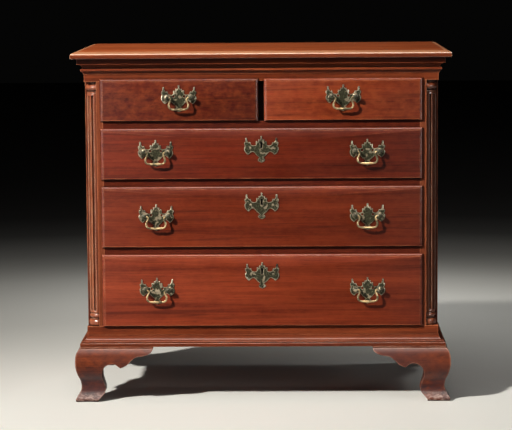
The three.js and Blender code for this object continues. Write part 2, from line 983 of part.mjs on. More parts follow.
function lockCase(plan) {
  const { core_top, escutcheon_z } = drawerSizes(plan);
  const body = box(
    [-lock_width / 2, lock_width / 2],
    [lock_front_y, front_rear_y],
    [core_top - lock_height, core_top],
  );
  const keyhole = prismAlongY(
    keyholeOutline(escutcheon_z),
    lock_front_y - overrun,
    lock_front_y + keyhole_depth_in_lock,
  );
  const bolt_way = box(
    [-bolt_width / 2 - bolt_play, bolt_width / 2 + bolt_play],
    [bolt_front_y - bolt_play, bolt_rear_y + bolt_play],
    [core_top - bolt_height - rest_gap - rest_gap, core_top + overrun],
  );
  return cut(body, [keyhole, bolt_way]);
}

function lockBolt(plan) {
  const { core_top } = drawerSizes(plan);
  return box(
    [-bolt_width / 2, bolt_width / 2],
    [bolt_front_y, bolt_rear_y],
    [core_top - bolt_height - rest_gap, core_top - rest_gap],
  );
}

// The brass plates: half of the outline from the tip of the crest down to the drop, each
// point as a share of the half width and of the crest's height above the posts' line
const plate_shares = [
  [0.08, 0.75],
  [0.15, 0.61],
  [0.2, 0.54],
  [0.29, 0.64],
  [0.325, 0.39],
  [0.34, 0.32],
  [0.395, 0.32],
  [0.56, 0.39],
  [0.7, 0.5],
  [0.84, 0.71],
  [0.93, 0.79],
  [1, 0.61],
  [0.99, 0.32],
  [0.94, 0.14],
  [1, 0],
  [0.98, -0.29],
  [0.86, -0.5],
  [0.74, -0.57],
  [0.6, -0.39],
  [0.465, -0.32],
  [0.35, -0.46],
  [0.28, -0.61],
  [0.16, -0.79],
  [0.105, -0.86],
  [0.21, -1.04],
  [0.14, -1.18],
];
const plate_drop_share = 1.32;

function plateOutline(half_width, crest) {
  const right = scaled(plate_shares, half_width, crest);
  const left = right.map(([x, z]) => [-x, z]).reverse();
  return [[0, crest], ...right, [0, -crest * plate_drop_share], ...left];
}

function piercings() {
  return [-1, 1].map((side) =>
    circle(side * piercing_from_centre, piercing_rise, piercing_radius, small_round_sides),
  );
}

// A plate with its two posts: each has a collar, a drilled head, and a nut inside the drawer
function pullPlate() {
  const plate = prismAlongY(
    plateOutline(plate_half_width, plate_crest),
    face_y - plate_thickness,
    face_y,
    piercings(),
  );
  const posts = [-1, 1].flatMap((side) => {
    const x = side * post_from_centre;
    const bore_start = x - side * (post_head_radius + overrun);
    return [
      barAlongY(x, 0, pivot_y, front_rear_y + nut_thickness, post_radius),
      barAlongY(
        x,
        0,
        face_y - plate_thickness - post_collar_height,
        face_y - plate_thickness / 2,
        post_collar_radius,
      ),
      barAlongY(x, 0, front_rear_y, front_rear_y + nut_thickness, nut_radius),
      ball(x, pivot_y, 0, post_head_radius),
    ];
  });
  const bores = [-1, 1].map((side) => {
    const mouth = side * (post_from_centre - post_head_radius - overrun);
    const end = side * (post_from_centre - post_head_radius + bail_bore_depth);
    return barAlongX(mouth, end, pivot_y, 0, bail_wire_radius + bail_bore_play);
  });
  return cut(join([plate, ...posts]), bores);
}

// The bail: a wire that turns in at the shoulders, swells and runs across as the grip
const bail_neck_share = 0.2; // shares of the drop
const bail_swell_share = 0.62;
const bail_corner_share = 0.9;
const bail_corner_in_share = 0.84; // share of the swell
const bail_steps = 20;

function bail() {
  const pin_end = post_from_centre - post_head_radius + bail_pin_depth;
  const half = [
    [pin_end, 0],
    [(pin_end + bail_shoulder) / 2, 0],
    [bail_shoulder, -bail_drop * bail_neck_share],
    [bail_swell, -bail_drop * bail_swell_share],
    [bail_swell * bail_corner_in_share, -bail_drop * bail_corner_share],
  ];
  const points = [
    ...half.map(([x, z]) => [-x, z]),
    [0, -bail_drop],
    ...half.reverse(),
  ].map(([x, z]) => new THREE.Vector3(x, pivot_y, z));
  const path = new THREE.CatmullRomCurve3(points, false, "centripetal");
  const section = new THREE.Shape(
    circle(0, 0, bail_wire_radius, small_round_sides).map(([a, b]) => new THREE.Vector2(a, b)),
  );
  return solid(
    new THREE.ExtrudeGeometry(section, { steps: bail_steps, extrudePath: path, bevelEnabled: false }),
  );
}

// An escutcheon: a plate of the same pattern round the keyhole, held by two nails
function escutcheon() {
  const plate = prismAlongY(
    plateOutline(escutcheon_half_width, escutcheon_crest),
    face_y - plate_thickness,
    face_y,
    [keyholeOutline(0)],
  );
  const nails = [-1, 1].flatMap((side) => [
    barAlongY(side * nail_from_centre, 0, face_y - plate_thickness, face_y + nail_length, nail_radius),
    ball(side * nail_from_centre, face_y - plate_thickness, 0, nail_head_radius).subtract(
      box(
        [-case_half, case_half],
        [face_y - plate_thickness / 2, face_y + overrun],
        [-nail_head_radius * 2, nail_head_radius * 2],
      ),
    ),
  ]);
  return join([plate, ...nails]);
}

// One drawer with everything on it
function drawer(plan) {
  const group = new THREE.Group();
  group.position.set(plan.middle, 0, plan.floor);
  group.add(
    piece(`${plan.name}_front`, drawerFront(plan), wood),
    piece(`${plan.name}_box`, drawerBox(plan), pale_wood),
    piece(`${plan.name}_bottom`, drawerBottom(plan), pale_wood),
  );
  plan.pulls.forEach((pull_x, i) => {
    const pull = new THREE.Group();
    const which = plan.pulls.length > 1 ? `${plan.name}_${["left", "right"][i]}` : plan.name;
    pull.position.set(pull_x, 0, plan.pull_height);
    pull.add(piece(`${which}_pull_plate`, pullPlate(), brass));
    pull.add(piece(`${which}_bail`, bail(), brass));
    group.add(pull);
  });
  if (plan.locked) {
    const plate = piece(`${plan.name}_escutcheon`, escutcheon(), brass);
    plate.position.set(0, 0, drawerSizes(plan).escutcheon_z);
    group.add(plate);
    group.add(piece(`${plan.name}_lock`, lockCase(plan), steel));
    group.add(piece(`${plan.name}_bolt`, lockBolt(plan), steel));
  }
  return group;
}

function longDrawer(name, floor, opening_height, pull_height, escutcheon_drop) {
  return drawer({
    name,
    floor,
    opening_height,
    pull_height,
    escutcheon_drop,
    middle: 0,
    lip_half,
    core_left: -opening_half + side_play,
    core_right: opening_half - side_play,
    pulls: [-1, 1].map((side) => side * (lip_half - long_pull_from_end)),
    locked: true,
  });
}

function shortDrawer(name, side) {
  const inner_lip = centre_gap / 2;
  const middle = (inner_lip + lip_half) / 2;
  const inner_core = partition_thickness / 2 + partition_play - middle;
  const outer_core = opening_half - side_play - middle;
  return drawer({
    name,
    floor: short_floor,
    opening_height: short_opening_height,
    pull_height: short_pull_height,
    middle: side * middle,
    lip_half: (lip_half - inner_lip) / 2,
    core_left: side > 0 ? inner_core : -outer_core,
    core_right: side > 0 ? outer_core : -inner_core,
    pulls: [0],
    locked: false,
  });
}

// The whole chest
const chest = new THREE.Group();
chest.add(
  piece("top_board", topBoard(), wood),
  piece("cornice_moulding", corniceMoulding(), wood),
  piece("base_moulding", baseMoulding(), wood),
  piece("top_rail", topRail(), wood),
  piece("drawer_divider_1", drawerDivider(short_floor, true), wood),
  piece("drawer_divider_2", drawerDivider(upper_floor, true), wood),
  piece("drawer_divider_3", drawerDivider(middle_floor, true), wood),
  piece("small_drawer_partition", smallDrawerPartition(), wood),
  piece("case_bottom", caseBottom(), wood),
  piece("backboard", backboard(), pale_wood),
);
[
  ["left", -1],
  ["right", 1],
].forEach(([word, side]) => {
  chest.add(
    piece(`case_side_${word}`, caseSide(side), wood),
    piece(`front_stile_${word}`, frontStile(side), wood),
    piece(`quarter_column_${word}`, quarterColumn(side), wood),
    piece(`foot_front_${word}`, frontFoot(side), wood),
    piece(`foot_rear_${word}`, rearFoot(side), wood),
  );
  chest.add(shortDrawer(`short_drawer_${word}`, side));
});
[
  ["upper_drawer", upper_floor, upper_opening_height, upper_pull_height, upper_escutcheon_drop],
  ["middle_drawer", middle_floor, middle_opening_height, middle_pull_height, middle_escutcheon_drop],
  ["lower_drawer", lower_floor, lower_opening_height, lower_pull_height, lower_escutcheon_drop],
].forEach((sizes) => chest.add(longDrawer(...sizes)));

export default chest;
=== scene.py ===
# %% [markdown]
# This lesson dresses a chest of drawers for rendering. The construction is already made: a
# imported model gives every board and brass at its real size. Here the same pieces get what the
# eye looks for, which is rounded mouldings, old polish over figured wood, and brass gone
# green and brown. Boards that are plain in the construction stay as they are and only get a
# finish. Pieces with a moulded or cast shape are built again, finer, in the same place.

# %% Load the construction
import json
import math

import bmesh
import bpy
from mathutils import Matrix, Vector


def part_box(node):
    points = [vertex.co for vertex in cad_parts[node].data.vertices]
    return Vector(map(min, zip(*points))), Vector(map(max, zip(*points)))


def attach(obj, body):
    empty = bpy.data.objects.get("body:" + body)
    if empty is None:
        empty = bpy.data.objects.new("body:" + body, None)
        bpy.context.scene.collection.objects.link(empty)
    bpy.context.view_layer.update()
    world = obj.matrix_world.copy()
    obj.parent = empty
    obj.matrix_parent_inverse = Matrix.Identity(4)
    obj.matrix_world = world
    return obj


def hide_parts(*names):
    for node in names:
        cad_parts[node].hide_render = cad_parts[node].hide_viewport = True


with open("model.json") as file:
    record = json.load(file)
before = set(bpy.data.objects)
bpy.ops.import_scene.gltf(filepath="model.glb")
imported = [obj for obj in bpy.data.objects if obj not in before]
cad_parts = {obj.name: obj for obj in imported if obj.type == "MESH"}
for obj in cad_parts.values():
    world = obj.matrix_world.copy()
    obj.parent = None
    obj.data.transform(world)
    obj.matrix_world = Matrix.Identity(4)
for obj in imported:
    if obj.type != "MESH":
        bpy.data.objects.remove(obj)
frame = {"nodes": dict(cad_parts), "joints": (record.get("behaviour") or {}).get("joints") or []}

scene = bpy.context.scene
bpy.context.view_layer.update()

# %% [markdown]
# All places come from the construction's own boxes, so nothing here has to be measured
# again. The case is the plain box behind the mouldings: its half width, its front plane and
# its rear plane are what every moulding, foot and column is set against.

# %% The planes of the case
MM = 0.001
case_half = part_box("case_side_right")[1].x
case_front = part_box("top_rail")[0].y
case_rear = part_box("backboard")[1].y
print("case half width", round(case_half, 4), "front plane", round(case_front, 4))

# %% [markdown]
# The camera stands where the photographer's did, found by fitting the chest's straight edges
# to the picture. The picture was made with a shifted lens, which keeps uprights upright. A
# large shift would push the chest out of the frame in any other view, so the camera tilts
# down instead and keeps only a small shift.

# %% Camera
camera_place = Vector((0.0943, -5.6931, 1.1103))
camera_tilt = math.radians(-6.024)
camera_turn = math.radians(1.138)
camera_roll = math.radians(-0.401)
camera_lens = 154.38
film_width = 36
picture_width = 512
rows_shifted = -26
farthest_seen = 60


def aim(tilt, turn, roll):
    forward = Matrix.Rotation(turn, 3, "Z") @ Matrix.Rotation(tilt, 3, "X")
    right, ahead, up = (forward @ Vector(axis) for axis in ((1, 0, 0), (0, 1, 0), (0, 0, 1)))
    rolled_right = math.cos(roll) * right + math.sin(roll) * up
    rolled_up = math.cos(roll) * up - math.sin(roll) * right
    return Matrix((rolled_right, rolled_up, -ahead)).transposed()


camera_data = bpy.data.cameras.new("camera")
camera_data.lens = camera_lens
camera_data.sensor_width = film_width
camera_data.shift_y = rows_shifted / picture_width
camera_data.clip_end = farthest_seen
camera = bpy.data.objects.new("camera", camera_data)
camera_aim = aim(camera_tilt, camera_turn, camera_roll)
camera.matrix_world = Matrix.Translation(camera_place) @ camera_aim.to_4x4()
scene.collection.objects.link(camera)
scene.camera = camera
print("camera stands", round(camera_place.length, 2), "metres from the middle of the floor")

# %% [markdown]
# Studio light. The key is one small lamp high on the left, which throws the pulls' shadows to
# the right. A wide lamp overhead and one on the right soften the shadows a little, and three
# narrow ones light the chest's back and two patches of floor. Old polish also needs something
# to mirror, so three broad lamps shine on gloss alone: they draw the bright lines along the
# rounded edges and leave the flat colour as it is.

# %% Lamps
def soft_box(name, place, target, size, power, spread_angle=180, colour=(1, 1, 1)):
    data = bpy.data.lights.new(name, "AREA")
    data.shape = "RECTANGLE"
    data.size, data.size_y = size
    data.energy = power
    data.color = colour
    data.spread = math.radians(spread_angle)
    lamp = bpy.data.objects.new(name, data)
    lamp.visible_camera = False
    lamp.location = place
    lamp.rotation_euler = (Vector(target) - Vector(place)).to_track_quat("-Z", "Y").to_euler()
    scene.collection.objects.link(lamp)
    return lamp


key_from = Vector((-0.64, -0.54, 0.545)).normalized()
key_distance = 7.0
key_aim = Vector((0.25, 0, 0.4))
key_place = key_aim + key_distance * key_from
soft_box("key", key_place, key_aim, (0.36, 0.36), 58, 60, (1, 0.97, 0.93))
soft_box("overhead", (-0.4, -1.7, 3.0), (-0.1, -1.1, 0), (2.4, 0.8), 4, 100)
soft_box("right_fill", (3.3, -2.1, 1.3), (0, 0, 0.45), (1.6, 1.6), 7)
pool_lamps = [
    soft_box("rear_fill", (0.5, 3.6, 1.6), (0, 0.27, 0.85), (1.6, 0.3), 2, 24),
    soft_box("floor_right", (2.3, 1.0, 2.6), (0.95, 0.8, 0), (0.8, 0.8), 1.3, 38),
    soft_box("floor_behind", (0.1, 1.7, 2.8), (0.1, 1.45, 0), (1.2, 0.3), 2.2, 38),
]
gloss_lamps = [
    soft_box("top_gloss", (0, -1.25, 3.3), (0, 0, 0.6), (2.4, 1.2), 150, colour=(1, 0.9, 0.8)),
    soft_box("left_gloss", (-2.6, -2.2, 0.7), (0, 0, 0.5), (0.8, 1.8), 62),
    soft_box("right_gloss", (2.6, -2.2, 0.9), (0, 0, 0.6), (0.6, 1.6), 42),
]
for lamp in pool_lamps:
    lamp.visible_glossy = False
for lamp in gloss_lamps:
    lamp.visible_diffuse = False
print("lamps that skip gloss:", len(pool_lamps), "and that skip flat colour:", len(gloss_lamps))

# %% [markdown]
# The room is dark to the camera and to reflections, so the polish stays deep, and gives
# everything else a low even fill. Light Path tells which kind of ray is asking. The helpers
# made here wire every material below: one feeds a node's inputs with values or with other
# nodes' outputs, one makes a node and feeds it, and two stand for the commonest nodes.

# %% Node helpers and the room
def feed(tree, made, feeds):
    for name, value in feeds.items():
        if isinstance(value, bpy.types.NodeSocket):
            tree.links.new(value, made.inputs[name])
        else:
            made.inputs[name].default_value = value


def add_node(tree, kind, feeds=None, **settings):
    made = tree.nodes.new("ShaderNode" + kind)
    for name, value in settings.items():
        setattr(made, name, value)
    feed(tree, made, feeds or {})
    return made


def maths(tree, operation, first, second, clamp=False):
    feeds = {0: first, 1: second}
    return add_node(tree, "Math", feeds, operation=operation, use_clamp=clamp).outputs[0]


def mix(tree, share, first, second):
    return add_node(tree, "Mix", {"Factor": share, 6: first, 7: second}, data_type="RGBA").outputs[2]


def seen_directly(tree):
    """1 where the camera or a reflection looks, 0 for light passed on to other things."""
    rays = add_node(tree, "LightPath").outputs
    return maths(tree, "MAXIMUM", rays["Is Camera Ray"], rays["Is Glossy Ray"])


seen_room = (0.0015, 0.0015, 0.0014, 1)
fill_light = (0.024, 0.024, 0.025, 1)
room = bpy.data.worlds.new("room")
room.use_nodes = True
room.node_tree.nodes.clear()
room_colour = mix(room.node_tree, seen_directly(room.node_tree), fill_light, seen_room)
room_light = add_node(room.node_tree, "Background", {"Color": room_colour})
add_node(room.node_tree, "OutputWorld", {"Surface": room_light.outputs[0]})
scene.world = room
scene.view_settings.view_transform = "Standard"
print("room has", len(room.node_tree.nodes), "nodes")

# %% [markdown]
# Finishes come before shapes, so that each piece can take its own as it is made. Colours are
# written as they look in a picture, from 0 to 255, and turned into the linear values that
# Blender computes with. Effects that several finishes share are node groups, made once.

# %% Colour and group helpers
def tint(red, green, blue):
    def linear(value):
        share = value / 255
        return share / 12.92 if share <= 0.04045 else ((share + 0.055) / 1.055) ** 2.4

    return (linear(red), linear(green), linear(blue), 1)


def times(tree, first, second, clamp=False):
    return maths(tree, "MULTIPLY", first, second, clamp)


def spread(tree, value, low, high, to_low=0.0, to_high=1.0):
    """Stretches the part of a value between low and high over another range."""
    feeds = {"Value": value, "From Min": low, "From Max": high, "To Min": to_low, "To Max": to_high}
    return add_node(tree, "MapRange", feeds).outputs[0]


def stretched_noise(tree, at, scale, detail, roughness=0.55):
    """Noise drawn out by a different amount along each axis."""
    drawn = add_node(tree, "Mapping", {"Vector": at, "Scale": scale}).outputs[0]
    feeds = {"Vector": drawn, "Scale": 1.0, "Detail": detail, "Roughness": roughness}
    return add_node(tree, "TexNoise", feeds).outputs["Fac"]


vector_sockets = {"At", "Rounded"}


def shader_group(name, inputs, outputs):
    """An empty group. Its inputs are given with their usual values, its outputs by name."""
    tree = bpy.data.node_groups.new(name, "ShaderNodeTree")
    for side, labels in (("INPUT", inputs), ("OUTPUT", outputs)):
        for label in labels:
            kind = "NodeSocketVector" if label in vector_sockets else "NodeSocketFloat"
            socket = tree.interface.new_socket(name=label, in_out=side, socket_type=kind)
            if kind == "NodeSocketFloat" and side == "INPUT":
                socket.default_value = inputs[label]
    return tree, tree.nodes.new("NodeGroupInput").outputs, tree.nodes.new("NodeGroupOutput")


def place_group(tree, group, feeds):
    return add_node(tree, "Group", feeds, node_tree=group).outputs


# %% [markdown]
# Every board shares one group for its grain. Wood is a bundle of long fibres, so the same
# noise is used again and again, drawn out along the board: bands for the growth rings, fine
# streaks for the fibres, short dark dashes for the open pores and long dark veins. Mottled
# figure and wide blotches of light and dark come from noise that is drawn out less.

# %% Grain group
grain_group, grain_in, grain_out = shader_group(
    "grain", {"At": None, "Ring width": 0.012}, ["Tone", "Pores", "Figure", "Veins", "Blotches"]
)
grain_at = grain_in["At"]
heart_offset = (0.0, 0.043, 0.061)
heart_lean = (0.0, math.radians(1.6), math.radians(-2.2))
heart = add_node(grain_group, "Mapping", {"Vector": grain_at, "Location": heart_offset}).outputs[0]
slant = add_node(grain_group, "Mapping", {"Vector": heart, "Rotation": heart_lean}).outputs[0]
ring_scale = maths(grain_group, "DIVIDE", 0.05, grain_in["Ring width"])
ring_feeds = {"Vector": slant, "Scale": ring_scale, "Distortion": 2.4}
ring_feeds.update({"Detail": 3.0, "Detail Scale": 5.0, "Detail Roughness": 0.6})
rings = add_node(grain_group, "TexWave", ring_feeds, wave_type="RINGS", rings_direction="X")
bands = stretched_noise(grain_group, grain_at, (1.1, 26, 26), 3)
streaks = stretched_noise(grain_group, grain_at, (2.6, 95, 95), 3, 0.6)
fibres = stretched_noise(grain_group, grain_at, (7, 330, 330), 3, 0.65)
pore_noise = stretched_noise(grain_group, grain_at, (70, 1500, 1500), 1)
veins = stretched_noise(grain_group, slant, (1.3, 62, 62), 2, 0.7)
mottles = stretched_noise(grain_group, slant, (46, 74, 74), 4, 0.6)
clouds = stretched_noise(grain_group, grain_at, (2.2, 6, 6), 2)
tone = times(grain_group, rings.outputs["Fac"], 0.16)
for part, share in ((bands, 0.5), (streaks, 0.6), (fibres, 0.6)):
    tone = maths(grain_group, "ADD", tone, times(grain_group, part, share))
feed(grain_group, grain_out, {
    "Tone": spread(grain_group, tone, 0.6, 1.26),
    "Pores": spread(grain_group, pore_noise, 0.6, 0.72),
    "Figure": spread(grain_group, mottles, 0.38, 0.66),
    "Veins": spread(grain_group, veins, 0.57, 0.72),
    "Blotches": spread(grain_group, clouds, 0.35, 0.65),
})
print("grain group has", len(grain_group.nodes), "nodes")

# %% [markdown]
# Two centuries of dusters and hips rub the polish off the corners, and the same pale edge
# also carries a painted highlight along each rounded edge. A Bevel node gives the normal that
# a rounded edge would have. Where it differs from the flat face's own normal, there is an
# edge, and a little noise breaks the worn line up. The same normal also rounds the edge for
# the light. The second mask is grime and painted shade at once: it darkens where surfaces
# meet, which the Ambient Occlusion node finds.

# %% Edge wear, highlight, grime and shade group
edge_and_crevice_group, edge_and_crevice_in, edge_and_crevice_out = shader_group(
    "edge_wear_and_dirt",
    {"At": None, "Edge radius": 0.0009, "Wear reach": 0.003, "Dirt reach": 0.012, "Dirt start": 0.85},
    ["Wear", "Dirt", "Rounded"],
)
rounded = add_node(edge_and_crevice_group, "Bevel", {"Radius": edge_and_crevice_in["Edge radius"]}, samples=4).outputs[0]
# The wider rounding marks the edges that get wear and painted highlight.
wide_rounding = add_node(edge_and_crevice_group, "Bevel", {"Radius": edge_and_crevice_in["Wear reach"]}, samples=6).outputs[0]
facing = add_node(edge_and_crevice_group, "NewGeometry").outputs["Normal"]
likeness = add_node(edge_and_crevice_group, "VectorMath", {0: wide_rounding, 1: facing}, operation="DOT_PRODUCT")
edge = spread(edge_and_crevice_group, likeness.outputs["Value"], 0.999, 0.93)
broken = stretched_noise(edge_and_crevice_group, edge_and_crevice_in["At"], (24, 60, 60), 3)
# Painted shade with grime: Ambient Occlusion darkens where surfaces meet.
crevice = add_node(edge_and_crevice_group, "AmbientOcclusion", {"Distance": edge_and_crevice_in["Dirt reach"]}, samples=6)
grime_and_shade_full = maths(edge_and_crevice_group, "SUBTRACT", edge_and_crevice_in["Dirt start"], 0.5)
feed(edge_and_crevice_group, edge_and_crevice_out, {
    "Wear": times(edge_and_crevice_group, edge, spread(edge_and_crevice_group, broken, 0.3, 0.6), clamp=True),
    "Dirt": spread(edge_and_crevice_group, crevice.outputs["AO"], edge_and_crevice_in["Dirt start"], grime_and_shade_full),
    "Rounded": rounded,
})
print("wear group has", len(edge_and_crevice_group.nodes), "nodes")

# %% [markdown]
# The polish is the third shared effect. It isn't even: it is thin where hands have been, and
# it holds fine scratches and the ghost of the pores under it. The group gives a roughness
# that wanders, a height for the Bump node, and a shine that leaves out the flat faces. A real
# top mirrors its room there, but the empty studio would only wash its colour out.

# %% Polish group
polish_group, polish_in, polish_out = shader_group(
    "hand_polish",
    {"At": None, "Pores": 0.0, "Gloss low": 0.26, "Gloss high": 0.46},
    ["Roughness", "Height", "Shine"],
)
smears = stretched_noise(polish_group, polish_in["At"], (5, 9, 9), 3)
smear_share = spread(polish_group, smears, 0.35, 0.65)
gloss_limits = (polish_in["Gloss low"], polish_in["Gloss high"])
scratches = stretched_noise(polish_group, polish_in["At"], (18, 420, 420), 2)
sunk_pores = times(polish_group, polish_in["Pores"], -0.6)
own_normal = add_node(polish_group, "TexCoord").outputs["Normal"]
leaning = add_node(polish_group, "VectorMath", {0: own_normal}, operation="ABSOLUTE").outputs[0]
lean_x, lean_y, lean_z = add_node(polish_group, "SeparateXYZ", {0: leaning}).outputs
squareness = maths(polish_group, "MAXIMUM", lean_x, maths(polish_group, "MAXIMUM", lean_y, lean_z))
feed(polish_group, polish_out, {
    "Roughness": spread(polish_group, smear_share, 0, 1, *gloss_limits),
    "Height": maths(polish_group, "ADD", scratches, sunk_pores),
    "Shine": spread(polish_group, squareness, 0.99, 0.9),
})
print("polish group has", len(polish_group.nodes), "nodes")

# %% [markdown]
# One function makes the polished wood of any board. It is told which way the grain runs, a
# place in the imagined log so that no two boards match, the dark and light ends of the
# colour, and what is different about this board. The grain follows the board's own
# coordinates, so it stays put when a drawer slides. Its pale edge colour is wear and painted
# highlight at once, and its dark crevice colour is grime and painted shade. A clear coat over
# the colour is the varnish: it is missing where that grime and shade lie. Feet also get
# darker smudges low down, painted shade in the hollow of their S, and the pale knocks that
# years of mops and boots leave, both placed by their height above the floor.

# %% Polished wood
quarter_turn = math.radians(90)
grain_turns = {"x": (0, 0, 0), "y": (0, 0, quarter_turn), "z": (0, quarter_turn, 0)}
worn_edge_highlight = tint(214, 130, 88)
grime_and_shade_dark = tint(22, 8, 6)
figure_light = tint(172, 80, 38)
vein_dark = tint(58, 18, 11)
front_dark = tint(84, 25, 12)
front_light = tint(152, 60, 30)
warm_light = tint(176, 86, 46)
low_shade_heights = (0.098, 0.062)
toe_heights = (0.026, 0.012)
plain_wood = {
    "figure": 0.2, "cloud": 0.25, "cloud_colour": None, "gloss": (0.4, 0.55), "specular": 0.1,
    "wear": 0.9, "wear_reach": 0.004, "worn_colour": worn_edge_highlight, "dirt_reach": 0.014,
    "dirt_start": 0.85, "coat": 0.5, "coat_roughness": 0.17, "scuffs": 0.0,
}


def grain_place(tree, axis, log_place):
    own = add_node(tree, "TexCoord").outputs["Object"]
    feeds = {"Vector": own, "Rotation": grain_turns[axis], "Location": log_place}
    return add_node(tree, "Mapping", feeds).outputs[0]


def new_material(name):
    material = bpy.data.materials.new(name)
    material.use_nodes = True
    tree = material.node_tree
    tree.nodes.clear()
    shader = add_node(tree, "BsdfPrincipled")
    add_node(tree, "OutputMaterial", {"Surface": shader.outputs[0]})
    return material, tree, shader


def layered(tree, colour, *layers):
    """Lays colours over one another, each through its own mask and at its own strength."""
    for mask, strength, over in layers:
        colour = mix(tree, times(tree, mask, strength), colour, over)
    return colour


def bumped(tree, height, strength, distance, normal):
    feeds = {"Height": height, "Strength": strength, "Distance": distance, "Normal": normal}
    return add_node(tree, "Bump", feeds).outputs[0]


def shaded_and_scuffed(tree, colour, share):
    own = add_node(tree, "TexCoord").outputs["Object"]
    height = add_node(tree, "SeparateXYZ", {0: own}).outputs["Z"]
    smudges = spread(tree, stretched_noise(tree, own, (34, 34, 60), 4), 0.3, 0.62)
    knocks = spread(tree, stretched_noise(tree, own, (90, 90, 260), 4, 0.7), 0.44, 0.62)
    # Painted shade: the hollow of the S, low on the foot, is darkened and greyed in smudges.
    low_shade = times(tree, spread(tree, height, *low_shade_heights), smudges)
    toe = times(tree, spread(tree, height, *toe_heights), knocks)
    return layered(tree, colour, (low_shade, share, tint(62, 48, 52)), (toe, share, tint(196, 160, 146)))


def polished_wood(name, axis, log_place, dark, light, **changes):
    wish = {**plain_wood, **changes}
    material, tree, shader = new_material(name)
    at = grain_place(tree, axis, log_place)
    grain = place_group(tree, grain_group, {"At": at, "Ring width": 0.014})
    edges = place_group(tree, edge_and_crevice_group, {
        "At": at, "Wear reach": wish["wear_reach"], "Dirt reach": wish["dirt_reach"],
        "Dirt start": wish["dirt_start"],
    })
    gloss_low, gloss_high = wish["gloss"]
    polish = place_group(tree, polish_group, {
        "At": at, "Pores": grain["Pores"], "Gloss low": gloss_low, "Gloss high": gloss_high,
    })
    # The worn layer is wear and painted highlight; the last layer is grime and painted shade.
    colour = layered(
        tree, mix(tree, grain["Tone"], dark, light),
        (grain["Figure"], wish["figure"], figure_light),
        (grain["Blotches"], wish["cloud"], wish["cloud_colour"] or dark),
        (grain["Veins"], 0.5, vein_dark),
        (grain["Pores"], 0.4, grime_and_shade_dark),
        (edges["Wear"], wish["wear"], wish["worn_colour"]),
        (edges["Dirt"], 0.85, grime_and_shade_dark),
    )
    if wish["scuffs"]:
        colour = shaded_and_scuffed(tree, colour, wish["scuffs"])
    clean = maths(tree, "SUBTRACT", wish["coat"], edges["Dirt"], clamp=True)
    feed(tree, shader, {
        "Base Color": colour,
        "Roughness": polish["Roughness"],
        "Normal": bumped(tree, polish["Height"], 0.12, 0.0004, edges["Rounded"]),
        "Specular IOR Level": wish["specular"],
        "Coat Weight": times(tree, polish["Shine"], clean),
        "Coat Roughness": wish["coat_roughness"],
    })
    return material


# %% [markdown]
# Inside, a chest is made of cheaper pine and poplar, planed and left bare. It has gone the
# colour of toast, darker in random blotches and darker still in the corners, with grime and
# painted shade. The same grain group serves, with wider rings and no gloss.

# %% Bare wood
def bare_wood(name, axis, log_place, dark, light):
    material, tree, shader = new_material(name)
    at = grain_place(tree, axis, log_place)
    grain = place_group(tree, grain_group, {"At": at, "Ring width": 0.022})
    edges = place_group(tree, edge_and_crevice_group, {"At": at, "Edge radius": 0.0008, "Dirt reach": 0.03})
    plane_marks = stretched_noise(tree, at, (30, 12, 12), 2)
    fibres = stretched_noise(tree, at, (12, 500, 500), 3)
    height = maths(tree, "ADD", plane_marks, times(tree, fibres, 0.5))
    feed(tree, shader, {
        # Corners darken with grime and painted shade.
        "Base Color": layered(
            tree, mix(tree, grain["Tone"], dark, light),
            (grain["Blotches"], 0.35, dark), (edges["Dirt"], 0.6, tint(54, 36, 22)),
        ),
        "Roughness": spread(tree, fibres, 0.3, 0.7, 0.6, 0.85),
        "Normal": bumped(tree, height, 0.35, 0.0008, edges["Rounded"]),
    })
    return material


# %% [markdown]
# The brasses were cast, filed and once bright. Now a brown-green skin covers them in patches,
# rubbed through on the edges to pale metal that also serves as painted glints on the tips, and
# their hollows are darkened near black with grime and painted shade. The skin is corrosion,
# not metal, so it lowers Metallic as well as changing the colour.

# %% Brass and iron
def aged_metal(name, metal, skin, bloom, skin_share, roughness_low, roughness_high):
    material, tree, shader = new_material(name)
    at = add_node(tree, "TexCoord").outputs["Object"]
    edges = place_group(tree, edge_and_crevice_group, {
        "At": at, "Edge radius": 0.0005, "Wear reach": 0.0024, "Dirt reach": 0.01, "Dirt start": 0.95,
    })
    patches = stretched_noise(tree, at, (95, 95, 95), 4)
    spots = stretched_noise(tree, at, (330, 330, 330), 3)
    skin_here = spread(tree, patches, 0.62 - 0.3 * skin_share, 0.72 - 0.3 * skin_share)
    covered = maths(tree, "SUBTRACT", skin_here, edges["Wear"], clamp=True)
    skin_colour = mix(tree, spread(tree, spots, 0.45, 0.65), skin, bloom)
    colour = mix(tree, covered, metal, skin_colour)
    # Hollows darken near black with grime and painted shade; worn tips show pale painted glints.
    feed(tree, shader, {
        "Base Color": layered(tree, colour, (edges["Dirt"], 0.85, tint(14, 13, 8))),
        "Metallic": spread(tree, covered, 0, 1, 0.6, 0.15),
        "Roughness": spread(tree, covered, 0, 1, roughness_low, roughness_high),
        "Normal": bumped(tree, patches, 0.7, 0.001, edges["Rounded"]),
        "Specular IOR Level": 0.3,
    })
    return material


brass = aged_metal(
    "aged_brass", tint(226, 206, 172), tint(50, 45, 30), tint(88, 92, 68), 0.94, 0.2, 0.36
)
handled_brass = aged_metal(
    "handled_brass", tint(210, 180, 132), tint(82, 72, 48), tint(110, 106, 76), 0.6, 0.24, 0.4
)
iron = aged_metal("dark_iron", tint(84, 78, 72), tint(40, 34, 30), tint(92, 58, 38), 0.6, 0.4, 0.7)
print("metals made:", [metal.name for metal in (brass, handled_brass, iron)])

# %% [markdown]
# The floor is a wide pale sheet that isn't part of the chest. A pool of light is painted into
# the floor's own colour: like the photograph's backdrop, it falls from white to black behind
# the chest, by distance from a point under the chest. Only the camera and reflections see
# that painted light, so the light that the floor throws back on the wood stays even.

